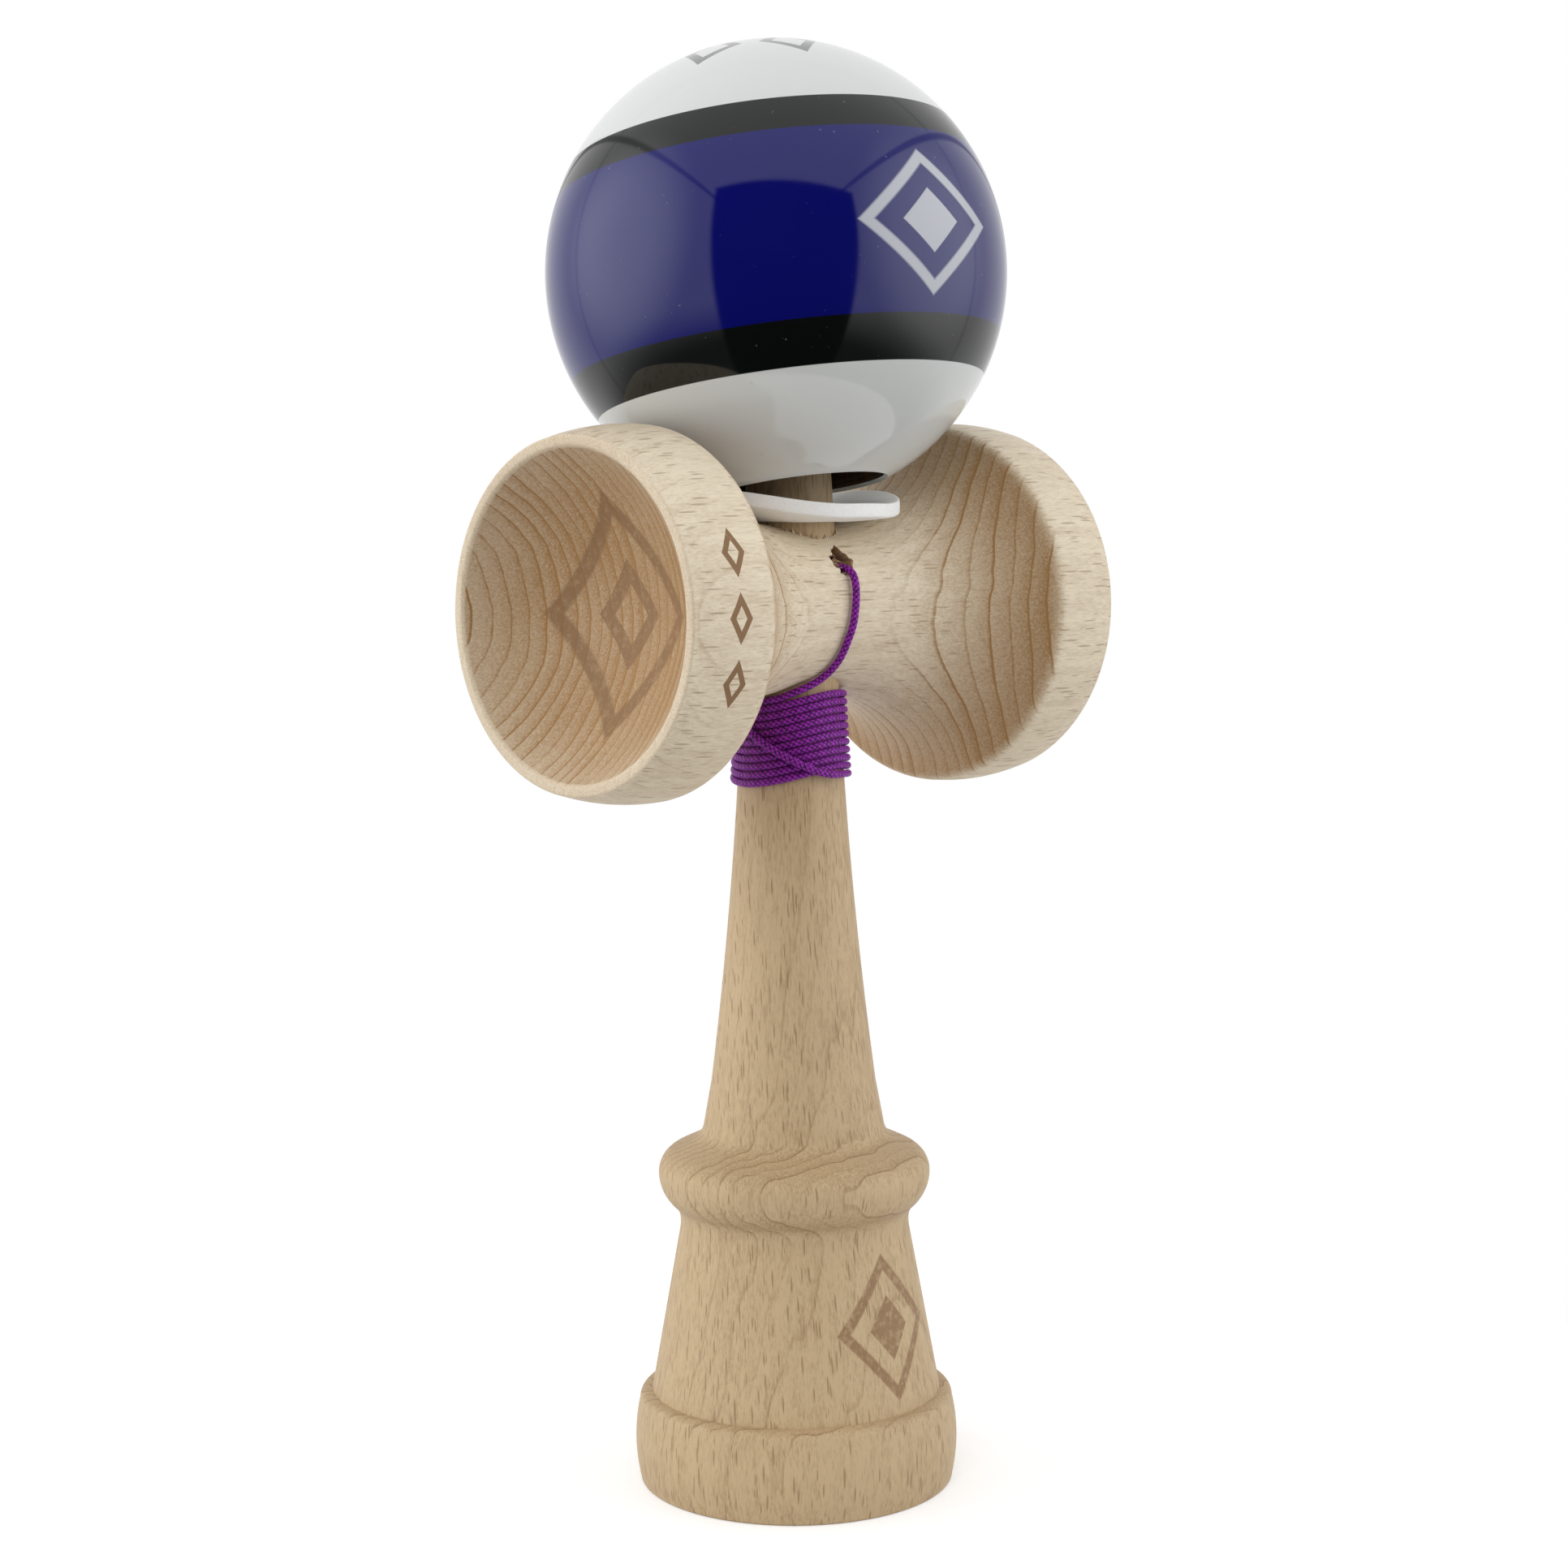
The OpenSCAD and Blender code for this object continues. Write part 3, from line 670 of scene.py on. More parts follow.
def beech_group():
    """Shared beech: growth rings about Z, rays that show as short flecks, pores and slow drifts of tone."""
    known = bpy.data.node_groups.get("beech")
    if known:
        return known
    tree = bpy.data.node_groups.new("beech", "ShaderNodeTree")
    for way, sockets in (("INPUT", BEECH_INPUTS), ("OUTPUT", BEECH_OUTPUTS)):
        for name, kind in sockets.items():
            tree.interface.new_socket(name=name, in_out=way, socket_type="NodeSocket" + kind)
    nodes = Nodes(tree)
    given = nodes.outputs("NodeGroupInput")
    place = given["Place"]
    x, y, z = nodes.parts(place)

    # Distance from the pith, with slow and fine waves, in ring widths
    reach = nodes.flat_length(place)
    around = nodes.math("ARCTAN2", x, y * -1.0) * given["Ray reach"]
    slow = nodes.noise(place, SLOW_BENDS, 1.0) - 0.5
    scallop = nodes.noise(nodes.joined(reach, around, z), SCALLOPS, 0.0) - 0.5
    wave = slow * SLOW_BEND + scallop * given["Waviness"]
    ring = (reach + wave) / given["Ring width"]
    age = nodes.math("FRACT", ring)
    whole = nodes.math("FLOOR", ring)
    year = nodes.value(0, "ShaderNodeTexWhiteNoise", {"W": whole}, noise_dimensions="1D")

    # Latewood is a thin dark line at the end of each year, with a fainter rise before it
    line = nodes.ramp(age, 0.15, 0.9, 0.0, 0.25) + nodes.ramp(age, 0.82, 0.95, 0.0, 0.75)
    line = line * nodes.ramp(age, 0.96, 1.0, 1.0, 0.0)
    rings = line * nodes.ramp(year, 0.0, 1.0, 0.3, 1.0) * given["Ring strength"]

    # Rays are thin sheets that run out from the pith: short flecks where they end in the surface
    sheet = nodes.joined(reach / RAY_DEPTH, around / RAY_THICKNESS, z / given["Ray height"])
    cell = nodes.outputs("ShaderNodeTexVoronoi", {"Vector": sheet, "Scale": 1.0, "Randomness": 1.0})
    own_size, _, _ = nodes.parts(cell["Color"])
    edge = nodes.ramp(own_size, 0.0, 1.0, 0.12, 0.4)
    dash = nodes.ramp(cell["Distance"] / edge, 0.55, 1.0, 1.0, 0.0)
    flecks = dash * given["Fleck strength"]

    # Tone goes from pale at 0 to dark at 1; the noises swing about their middle
    pores = nodes.noise(place, PORES, 3.0, 0.75)
    streaks = nodes.noise(place, STREAKS, 3.0)
    drift = nodes.noise(place, DRIFTS, 2.0)
    tone = rings + 0.1 + (pores - 0.5) * given["Pores"] + (streaks - 0.5) * given["Fleck strength"]
    tone = tone + (drift - 0.45) * 0.45 + given["End grain"]
    wood = nodes.mix(tone, given["Pale"], given["Dark"])
    nodes.add("NodeGroupOutput", {"Color": nodes.mix(flecks, wood, given["Fleck"]),
                                  "Roughness": nodes.ramp(pores, 0.3, 0.7, 0.62, 0.5),
                                  "Height": flecks * -0.8 + pores * 0.6})
    return tree


def beech_material(name, pale, dark, finishes, wood, marks=None, rim=None):
    """Bare beech with its own pith place and grain direction; end grain is browner and shows its rings."""
    material, nodes = new_material(name)
    place = nodes.millimetres(wood["pith"], wood["turn"])
    normal = nodes.outputs("ShaderNodeNewGeometry")["Normal"]
    across = abs(nodes.vector("DOT_PRODUCT", normal, wood["grain"]))
    end_tone = nodes.ramp(across, 0.2, 0.95, 0.0, wood["end_tone"])
    ring_strength = nodes.ramp(across, 0.05, 0.6, wood["side_rings"], wood["end_rings"])
    if rim:
        inside = rim(nodes)
        end_tone = end_tone * inside
        ring_strength = ring_strength * inside
    values = {"Place": place, "Pale": pale, "Dark": dark, "Fleck": finishes.fleck,
              "Ring width": wood["ring_width"], "Ring strength": ring_strength, "Waviness": wood["waviness"],
              "Fleck strength": nodes.ramp(across, 0.3, 0.75, wood["flecks"], END_FLECKS),
              "End grain": end_tone, "Ray reach": wood["ray_reach"], "Ray height": wood["ray_height"],
              "Pores": wood["pores"]}
    beech = nodes.outputs("ShaderNodeGroup", values, node_tree=beech_group())
    tone, height = beech["Color"], beech["Height"]
    # Burnt marks; on the crossbar the same colour also paints shade inside the string hole
    if marks:
        worn = nodes.ramp(nodes.noise(place, 1.2, 3.0), 0.3, 0.55, 0.45, 0.85)
        burn_and_shade_mask = marks(nodes) * worn
        tone = nodes.mix(burn_and_shade_mask, tone, finishes.burnt)
        height = height - burn_and_shade_mask
    nodes.surface({"Base Color": tone, "Roughness": beech["Roughness"], "Specular IOR Level": 0.3}, height,
                  0.35, 5e-5)
    return material


def ken_marks(nodes):
    """Two nested diamonds on the front of the cone."""
    x, y, z = nodes.parts(nodes.millimetres((0.0, 0.0, -KEN_DIAMONDS_Z)))
    return nodes.diamonds(x, z, KEN_DIAMONDS) * (y < 0.0)


def sarado_rim(nodes):
    """Share of end grain, which falls off on the sanded rims of the two cups."""
    x, _, _ = nodes.parts(nodes.millimetres())
    return nodes.ramp(abs(x + RIM_MIDDLE), RIM_FROM, RIM_TO, 1.0, RIM_LEFT)


def sarado_marks_and_hole_shade(nodes, sarado):
    """Nested diamonds in the small cup's bowl, three small ones on its band, and painted shade inside the
    torn string hole.
    """
    x, y, z = nodes.parts(nodes.millimetres((0.0, 0.0, -SARADO_AXIS_Z / MM)))
    spread = nodes.vector("LENGTH", nodes.joined(y, z))
    bowl = nodes.diamonds(y, z, BOWL_DIAMONDS) * (spread < BOWL_REACH) * (x < BOWL_X)
    round_band = nodes.math("ARCTAN2", z, y * -1.0) * BAND_R
    step = (round_band + BAND_STEP / 2.0) % BAND_STEP - BAND_STEP / 2.0
    row = nodes.diamond(x + BAND_X, step, *BAND_DIAMOND)
    row = row * (abs(round_band) < BAND_HALF) * (spread > BAND_FROM)
    # Painted shade: the burnt colour fills the torn mouth of the string hole below the surface
    hole = nodes.joined(x - sarado.string_hole_x / MM, z - sarado.string_hole_rise / MM)
    waist_r = sarado.waist_d / 2.0 / MM
    torn = (nodes.vector("LENGTH", hole) < HOLE_SHADE_R) * (y < 0.0)
    torn = torn * nodes.ramp(spread, waist_r - HOLE_SHADE_DEEP, waist_r - HOLE_SHADE_SHALLOW, 1.0, 0.0)
    return bowl + row * BAND_STRENGTH + torn


def lacquer_material(finishes, tama, centre):
    """Glossy lacquer in bands: the height along the ball's axis picks white, black or violet."""
    material, nodes = new_material("ball_lacquer")
    own = nodes.place(tuple(centre), (-tama.lean, 0.0, 0.0), MM, "TEXTURE")
    x, y, height = nodes.parts(own)
    paint = finishes.white
    edges = ((tama.lower_black_low, finishes.black), (tama.violet_low, finishes.violet),
             (tama.violet_top, finishes.black), (tama.upper_black_top, finishes.white))
    for edge, coat in edges:
        paint = nodes.mix(nodes.ramp(height, edge / MM - COAT_SOFT, edge / MM + COAT_SOFT), paint, coat)

    # Silver diamonds on the violet, and a wreath of grey ones round the pole
    bearing = nodes.math("ARCTAN2", y, x)
    figure = nodes.diamonds((bearing - FIGURE_BEARING) * BALL_SIDE_R, height, BALL_DIAMONDS)
    paint = nodes.mix(figure * FIGURE_STRENGTH, paint, finishes.silver)
    out = nodes.flat_length(own)
    part = 2.0 * math.pi / WREATH_COUNT
    leaf = bearing % part - part / 2.0
    wreath = nodes.diamond(leaf * out, out - WREATH_R, *WREATH_DIAMOND) * (height > WREATH_LOW)
    paint = nodes.mix(wreath * WREATH_STRENGTH, paint, finishes.grey)

    # Faint dust under the gloss, and slow waves in the coat
    speck = nodes.ramp(nodes.noise(own, 1.1), 0.73, 0.78)
    paint = nodes.mix(speck * DUST_STRENGTH, paint, finishes.dust)
    peel = nodes.noise(own, 0.26)
    rough = nodes.ramp(nodes.noise(own, 0.06, 3.0), 0.3, 0.7, 0.05, 0.09)
    nodes.surface({"Base Color": paint, "Roughness": rough}, peel + speck, 0.04, 2e-5)
    return material


def bore_material(finishes, tama, centre):
    """Bare wood inside the ball, painted dark brown as the shade deep in the bore, with turning marks across
    the bore.
    """
    material, nodes = new_material("ball_bore_wood_painted_shade")
    own = nodes.place(tuple(centre), (-tama.lean, 0.0, 0.0), 1.0, "TEXTURE")
    tone = nodes.noise(own, (60.0, 60.0, 2400.0)) * 0.5 + nodes.noise(own, (1500.0, 1500.0, 120.0)) * 0.5
    # Painted shade: the bore colour is dark for the shade deep in the bore; its darker tone draws the
    # turning marks
    wood = nodes.mix(nodes.ramp(tone, 0.35, 0.65), shaded(finishes.bore, 0.45), finishes.bore)
    rough = nodes.ramp(tone, 0.3, 0.7, 0.6, 0.75)
    nodes.surface({"Base Color": wood, "Roughness": rough}, tone, 0.4, 8e-5)
    return material


def ring_material(finishes):
    """Soft matt white sheet with a fine grain."""
    material, nodes = new_material("soft_ring_white")
    place = nodes.place()
    grain = nodes.noise(place, 2600.0, 3.0)
    rough = nodes.ramp(nodes.noise(place, 120.0), 0.3, 0.7, 0.55, 0.7)
    white = nodes.mix(nodes.ramp(grain, 0.25, 0.6), shaded(finishes.ring_white, 0.94), finishes.ring_white)
    nodes.surface({"Base Color": white, "Roughness": rough}, grain, 0.12, 5e-5)
    return material


def braid_material(finishes):
    """Braided string: the mesh's stitch heights mix painted shade into the gaps between stitches, and fine
    noise gives its fibres.
    """
    material, nodes = new_material("string_braid")
    stitch = nodes.value("Fac", "ShaderNodeAttribute", attribute_name="stitch")
    fibre = nodes.noise(nodes.place(), 5200.0)
    tone = stitch + (fibre - 0.5) * 0.5
    # Painted shade: the yarn darkens towards the gaps between the stitches
    yarn = nodes.mix(nodes.ramp(tone, 0.35, 0.85), finishes.purple_gap_shade, finishes.purple)
    nodes.surface({"Base Color": yarn, "Roughness": nodes.ramp(fibre, 0.3, 0.7, 0.45, 0.6),
                   "Sheen Weight": 0.06, "Sheen Tint": finishes.sheen, "Specular IOR Level": 0.25}, fibre,
                  0.3, 4e-5)
    return material


# Shapes of the pieces

def ken_levels(ken):
    """Heights of the handle's steps, from the floor up."""
    cone_top = ken.base_h + ken.cone_h
    collar = cone_top + ken.neck_h + ken.collar_low_r * math.sin(ken.collar_low_turn)
    grip_low = collar + ken.flare_h
    return cone_top, collar, grip_low, grip_low + ken.grip_l


def grip_radius(ken, height):
    """Radius of the grip: a straight taper less a parabola that is greatest half way."""
    low, top = ken_levels(ken)[2:]
    share = (height - low) / (top - low)
    taper = (ken.grip_low_d + (ken.grip_top_d - ken.grip_low_d) * share) / 2.0
    return taper - 4.0 * ken.grip_draw * share * (1.0 - share)


def ken_outline(ken, sarado):
    """Half outline of the handle from the base cup's top, round the rim and up to the spike's tip."""
    cone_top, collar, grip_low, grip_top = ken_levels(ken)
    foot_r, cone_r, tip_r = ken.base_d / 2.0, ken.cone_d / 2.0, ken.spike_tip_d / 2.0
    shoulder = ken.base_h - ken.shoulder_soft
    cone = straight((cone_r, ken.base_h), (ken.neck_d / 2.0, cone_top), 25)
    hollow = (ken.neck_d / 2.0 - ken.neck_draw, cone_top + ken.neck_h * ken.neck_place)
    low_arc = round_arc((ken.collar_d / 2.0 - ken.collar_low_r, collar), ken.collar_low_r,
                        -ken.collar_low_turn, 0.0, 17)
    high_arc = round_arc((ken.collar_d / 2.0 - ken.collar_high_r, collar), ken.collar_high_r, 0.0,
                         ken.collar_high_turn, 17)
    shelf_run = (high_arc[-1, 0] - ken.flare_d / 2.0) / math.tan(ken.collar_high_turn)
    shelf_end = np.array([ken.flare_d / 2.0, high_arc[-1, 1] + shelf_run])
    flare_top = np.array([ken.grip_low_d / 2.0, grip_low])
    shelf_soft = shelf_end + ken.flare_soft * unit(high_arc[-1] - shelf_end)
    flare_start = shelf_end + ken.flare_soft * unit(flare_top - shelf_end)
    grip = np.linspace(grip_low, grip_top, 61)
    nose_z = SPIKE_TIP_Z - ken.spike_nose
    seat_top = (ken.seat_top_d / 2.0, SARADO_AXIS_Z + sarado.waist_d / 2.0)
    return joined(
        bowl_curve(ken.cup_d, ken.cup_r, 33)[1:],
        straight((ken.cup_d / 2.0, 0.0), (foot_r - ken.rim_soft, 0.0), 5),
        soft_corner((foot_r - ken.rim_soft, 0.0), (foot_r, 0.0), (foot_r, ken.rim_soft), 7),
        swell_curve((foot_r, ken.rim_soft), (foot_r, shoulder), ken.base_swell, 17),
        soft_corner((foot_r, shoulder), (foot_r, ken.base_h), (cone_r, ken.base_h), 13),
        cone[:-2],
        soft_corner(cone[-2], hollow, low_arc[0], 17),
        low_arc,
        high_arc,
        straight(high_arc[-1], shelf_soft, 5),
        soft_corner(shelf_soft, shelf_end, flare_start, 9),
        straight(flare_start, flare_top, 9),
        np.stack([grip_radius(ken, grip), grip], axis=-1),
        straight((ken.grip_top_d / 2.0, grip_top), seat_top, 13),
        straight(seat_top, (tip_r, nose_z), 13),
        soft_corner((tip_r, nose_z), (tip_r, SPIKE_TIP_Z), (ken.spike_point, SPIKE_TIP_Z), 17))


def flank_radius(sarado, x):
    """Radius of the crossbar between its cups: the waist, then a hollow round away from it."""
    out = np.maximum(0.0, np.abs(x) - sarado.waist_l / 2.0)
    return sarado.waist_d / 2.0 + sarado.flank_r - np.sqrt(sarado.flank_r ** 2 - out ** 2)


def cup_outline(sarado, mouth_x, mouth_d, back_d, swell, bowl_d, bowl_r):
    """Half outline of a cup from the bowl's deepest point over the rim and down the flank to the waist."""
    def flank_point(turn):
        return np.stack([sarado.waist_d / 2.0 + sarado.flank_r * (1.0 - np.cos(turn)),
                         sarado.waist_l / 2.0 + sarado.flank_r * np.sin(turn)], axis=-1)

    back_turn = math.acos((sarado.waist_d / 2.0 + sarado.flank_r - back_d / 2.0) / sarado.flank_r)
    soft_turn = back_turn - sarado.edge_soft / sarado.flank_r
    back = flank_point(np.array(back_turn))
    band_end = (back_d / 2.0, back[1] + sarado.edge_soft)
    rim_r, lip = mouth_d / 2.0, sarado.lip_soft
    band_start = (rim_r, mouth_x - sarado.rim_soft)
    bowl = bowl_curve(bowl_d, bowl_r, 49)[1:] * (1.0, -1.0) + (0.0, mouth_x)
    slope = (bowl[-1] - bowl[-2]) / np.hypot(*(bowl[-1] - bowl[-2]))
    return joined(
        bowl[:-1],
        soft_corner(bowl[-1] - slope * lip, bowl[-1], bowl[-1] + (lip, 0.0), 6),
        soft_corner((rim_r - sarado.rim_soft, mouth_x), (rim_r, mouth_x), band_start, 7),
        swell_curve(band_start, band_end, -swell, 17),
        soft_corner(band_end, back, flank_point(np.array(soft_turn)), 9),
        flank_point(np.linspace(soft_turn, 0.0, 41)))


def seat_cutter(ken, sarado):
    """Tapered plug that opens the crossbar for the handle, with a slightly torn upper edge."""
    grip_top = ken_levels(ken)[3]
    seat_top = SARADO_AXIS_Z + sarado.waist_d / 2.0
    past = 1.0 * MM
    height = np.linspace(grip_top - past, seat_top + past, 41)[:, None]
    turn = full_turn(96)
    share = (height - grip_top) / (seat_top - grip_top)
    reach = (ken.grip_top_d + (ken.seat_top_d - ken.grip_top_d) * share) / 2.0 + sarado.seat_clearance
    tear = np.maximum(0.0, np.sin(7.0 * turn + 1.0) * np.sin(19.0 * turn) + 0.5 * np.sin(31.0 * turn))
    near_top = np.exp(-np.maximum(0.0, seat_top - height) / sarado.seat_tear_h)
    return grid_mesh("seat_cutter", round_points(reach + sarado.seat_tear * tear * near_top, turn, height))


def waist_front(sarado, rise):
    """Place along Y of the waist's front at a height above the crossbar's axis."""
    return -np.sqrt((sarado.waist_d / 2.0) ** 2 - rise ** 2)


def hole_cutter(name, diameter, sarado, from_y, to_y, chip=0.0):
    """Round plug along Y at the string hole; waves round its edge tear it wider near the waist's front."""
    y = np.linspace(from_y, to_y, 121)[:, None]
    turn = full_turn(64)
    tear = 0.45 + 0.75 * np.cos(turn - 1.2) + 0.25 * np.sin(5.0 * turn) + 0.2 * np.sin(11.0 * turn + 2.0)
    tear = chip * np.maximum(0.0, tear)
    front = waist_front(sarado, sarado.string_hole_rise + (diameter / 2.0 + tear) * np.sin(turn))
    reach = diameter / 2.0 + tear * np.exp(-np.maximum(0.0, y - front) / sarado.chip_depth)
    across = sarado.string_hole_x - reach * np.cos(turn)
    height = SARADO_AXIS_Z + sarado.string_hole_rise + reach * np.sin(turn)
    return grid_mesh(name, np.stack(np.broadcast_arrays(across, y, height), axis=-1))


def slivers(name, roots, tips, width):
    """Thin pyramids: each has a square root across its own direction and runs out to its tip."""
    along = unit(tips - roots)
    any_side = (0.31, 0.52, 0.79)
    side = width / 2.0 * unit(np.cross(along, any_side))
    over = np.cross(along, side)
    corners = np.stack([roots + side, roots + over, roots - side, roots - over, tips], axis=1)
    first = 5 * np.arange(len(roots))[:, None, None]
    faces = first + np.array([(0, 1, 4), (1, 2, 4), (2, 3, 4), (3, 0, 4), (2, 1, 0), (3, 2, 0)])
    mesh = bpy.data.meshes.new(name)
    mesh.from_pydata(corners.reshape(-1, 3).tolist(), [], faces.reshape(-1, 3).tolist())
    return mesh


def hole_fibres(sarado):
    """Slivers left standing in the string hole's mouth, most of them on its lower left side."""
    count, from_turn, sweep = 15, 120.0, 170.0
    width, root_depth = 0.4 * MM, 0.8 * MM
    order = np.arange(count)[:, None]
    turn = np.radians(from_turn + sweep * order / (count - 1.0) + 9.0 * np.sin(7.0 * order))
    out = sarado.string_hole_d / 2.0 + 0.25 * MM * (1.0 + np.sin(5.0 * order))
    lean = 0.55 + 0.25 * np.sin(3.0 * order + 1.0)
    ring = np.concatenate([np.cos(turn), 0.6 * np.sin(turn), np.sin(turn)], axis=1)
    centre = np.array([sarado.string_hole_x, waist_front(sarado, sarado.string_hole_rise),
                       SARADO_AXIS_Z + sarado.string_hole_rise])
    inwards = np.array([0.0, 1.0, 0.0])
    tips = centre + lean * out * ring + (0.1 + 0.35 * np.cos(4.0 * order)) * MM * inwards
    return slivers("hole_fibres", centre + out * ring + root_depth * inwards, tips, width)


def seat_fibres(ken, sarado):
    """Slivers that stand round the front of the seat, where the spike comes out of the waist."""
    count, from_turn, sweep = 28, -172.0, 164.0
    width, root_depth, taper = 0.55 * MM, 0.25 * MM, 0.03
    order = np.arange(count)
    turn = np.radians(from_turn + sweep * order / (count - 1.0) + 2.0 * np.sin(5.0 * order))
    reach = ken.seat_top_d / 2.0 + 0.25 * MM
    x, y = reach * np.cos(turn), reach * np.sin(turn)
    roots = np.stack([x, y, SARADO_AXIS_Z - waist_front(sarado, y) - root_depth], axis=1)
    rise = (0.75 + 0.35 * np.sin(11.0 * order)) * MM
    sway = 0.3 * MM * np.sin(7.0 * order)
    tips = roots + np.stack([sway - taper * x, -taper * y, rise], axis=1)
    return slivers("seat_fibres", roots, tips, width)


def tama_outline(tama, radius):
    """Outlines of the ball about its own axis: the round outside, and the hole and bore inside."""
    bore_r, hole_r, sink_r = tama.bore_d / 2.0, tama.pole_hole_d / 2.0, tama.countersink_d / 2.0
    mouth_r = bore_r + tama.bore_bevel
    mouth_h = math.sqrt(radius ** 2 - mouth_r ** 2)
    sink_h = math.sqrt(radius ** 2 - sink_r ** 2)
    bore_end = tama.bore_depth - mouth_h
    hole_end, hole_start = (hole_r, bore_end), (hole_r, bore_end + tama.pole_hole_l)
    flat_end = (bore_r - tama.bore_end_bevel, bore_end)
    wall_end, wall_start = (bore_r, bore_end - tama.bore_end_bevel), (bore_r, tama.bore_bevel - mouth_h)
    outside = joined(round_arc((0.0, 0.0), radius, -math.acos(mouth_r / radius),
                               math.acos(sink_r / radius), 181))
    inside = joined(soft_corner((sink_r, sink_h), (hole_r, sink_h - tama.countersink_h), hole_start, 17),
                    straight(hole_start, hole_end, 4),
                    straight(hole_end, flat_end, 9),
                    straight(flat_end, wall_end, 5),
                    straight(wall_end, wall_start, 33),
                    straight(wall_start, (mouth_r, -mouth_h), 5)[:-1])
    return outside, inside


def washer_points(washer, sarado):
    """Ring of rounded-oblong section whose points are lifted onto the crossbar's flanks."""
    outer_r = (WASHER_HIGH[0] - WASHER_LOW[0]) / 2.0
    inner_r = washer.hole_d / 2.0
    turn = full_turn(RING_COLUMNS)
    spin = full_turn(RING_ROWS)[:, None]

    def squared(wave):
        return np.sign(wave) * np.abs(wave) ** washer.squareness

    reach = (inner_r + outer_r) / 2.0 - (outer_r - inner_r) / 2.0 * squared(np.cos(spin))
    rise = washer.thickness / 2.0 * squared(np.sin(spin))
    x, y = reach * np.cos(turn), reach * np.sin(turn)
    centre = (SARADO_AXIS_Z + flank_radius(sarado, x) + washer.gap + washer.thickness / 2.0
              + washer.bend * y ** 2 / outer_r ** 2)
    return np.stack([x, y, centre + rise], axis=-1)


def winding_route(ken, string):
    """Turns on the grip: the angle runs on, the height falls by the pitch, the radius follows the grip."""
    degrees_apart = 10.0
    travel = np.radians(np.arange(0.0, string.turns * 360.0, degrees_apart))
    turn = WIND_START - travel
    tilt = WIND_TILT * np.cos(turn - WIND_TILT_SIDE)
    saddle = WIND_SADDLE * np.cos(2.0 * (turn - WIND_SADDLE_SIDE))
    climb = CROSS_CLIMB * CROSS_EASE * np.log1p(np.exp((travel - CROSS_START) / CROSS_EASE))
    height = SARADO_AXIS_Z - string.drop - string.pitch * travel / (2.0 * np.pi) + tilt + saddle + climb
    share = np.clip((travel - CROSS_LIFT_FROM) / (CROSS_LIFT_TO - CROSS_LIFT_FROM), 0.0, 1.0)
    lift = CROSS_LIFT * share ** 2 * (3.0 - 2.0 * share)
    return round_points(grip_radius(ken, height) + WIND_STANDOFF * string.diameter + lift, turn, height)


def smooth_route(points, spacing):
    """Curve through the points by the Catmull-Rom formula, then points on it at an even spacing."""
    padded = np.concatenate([[2.0 * points[0] - points[1]], points, [2.0 * points[-1] - points[-2]]])
    before, start, end, after = padded[:-3, None], padded[1:-2, None], padded[2:-1, None], padded[3:, None]
    share = np.linspace(0.0, 1.0, 16, endpoint=False)[None, :, None]
    curve = 0.5 * (2.0 * start + (end - before) * share
                   + (2.0 * before - 5.0 * start + 4.0 * end - after) * share ** 2
                   + (3.0 * start - before - 3.0 * end + after) * share ** 3)
    curve = np.concatenate([curve.reshape(-1, 3), points[-1:]])
    run = np.concatenate([[0.0], np.cumsum(steps(curve))])
    even = np.linspace(0.0, run[-1], int(run[-1] / spacing) + 1)
    return np.stack([np.interp(even, run, curve[:, axis]) for axis in range(3)], axis=-1), even


def tube_frame(route, hint, ring=False):
    """Two directions square to the route at each point, the first as near the hint as can be."""
    if ring:
        along = unit(np.roll(route, -1, axis=0) - np.roll(route, 1, axis=0))
    else:
        along = unit(np.gradient(route, axis=0))
    side = unit(hint - along * (hint * along).sum(axis=-1, keepdims=True))
    return side, np.cross(along, side)


def braided_tube(name, route, run, hint, string, ring=False):
    """Tube whose radius rises over slanting stitches: two waves cross round and along the string.

    The stitch height goes into an attribute, from which the material paints shade into the gaps between
    stitches.
    """
    side, up = tube_frame(route, hint, ring)
    spin = full_turn(STRING_SIDES)
    phase = 2.0 * np.pi * run[:, None] / string.strand
    stitch = np.abs(np.sin(2.0 * spin + phase) * np.sin(2.0 * spin - phase)) ** 0.5
    reach = (string.diameter / 2.0 - string.relief * (1.0 - stitch))[..., None]
    spokes = np.cos(spin)[:, None] * side[:, None] + np.sin(spin)[:, None] * up[:, None]
    mesh = grid_mesh(name, route[:, None] + reach * spokes, ring)
    values = np.zeros(len(mesh.vertices), dtype=np.float32)
    values[:stitch.size] = stitch.ravel()
    mesh.attributes.new("stitch", "FLOAT", "POINT").data.foreach_set("value", values)
    return mesh


def knot_route(low, high, string):
    """Overhand knot: a three-lobed curve closed on itself, scaled into a box."""
    turn = full_turn(KNOT_POINTS)
    curve = np.stack([np.sin(turn) + 2.0 * np.sin(2.0 * turn), np.cos(turn) - 2.0 * np.cos(2.0 * turn),
                      -np.sin(3.0 * turn)], axis=-1)
    room = (np.asarray(high) - np.asarray(low)) / 2.0 - string.diameter / 2.0
    return middle(low, high) + curve / (3.0, 3.0, 1.0) * room


def bead_outline(bead):
    """Closed outline of the bead: the hole's wall, two flat ends and the round side between them."""
    hole_r, half, soft = bead.hole_d / 2.0, bead.bead_l / 2.0, bead.edge_soft
    flat = math.asin(half / (bead.diameter / 2.0))
    side = round_arc((0.0, 0.0), bead.diameter / 2.0, -flat, flat, 33)
    return joined(side, soft_corner(side[-1], side[-1] - (soft, 0.0), side[-1] - (2.0 * soft, 0.0), 3),
                  straight((hole_r + soft, half), (hole_r, half - soft), 3),
                  straight((hole_r, half - soft), (hole_r, soft - half), 9),
                  straight((hole_r, soft - half), (hole_r + soft, -half), 3))


def leaning(angle_from_z):
    """Matrix that leans Z towards +Y."""
    return Matrix.Rotation(-angle_from_z, 3, "X")


# Operators

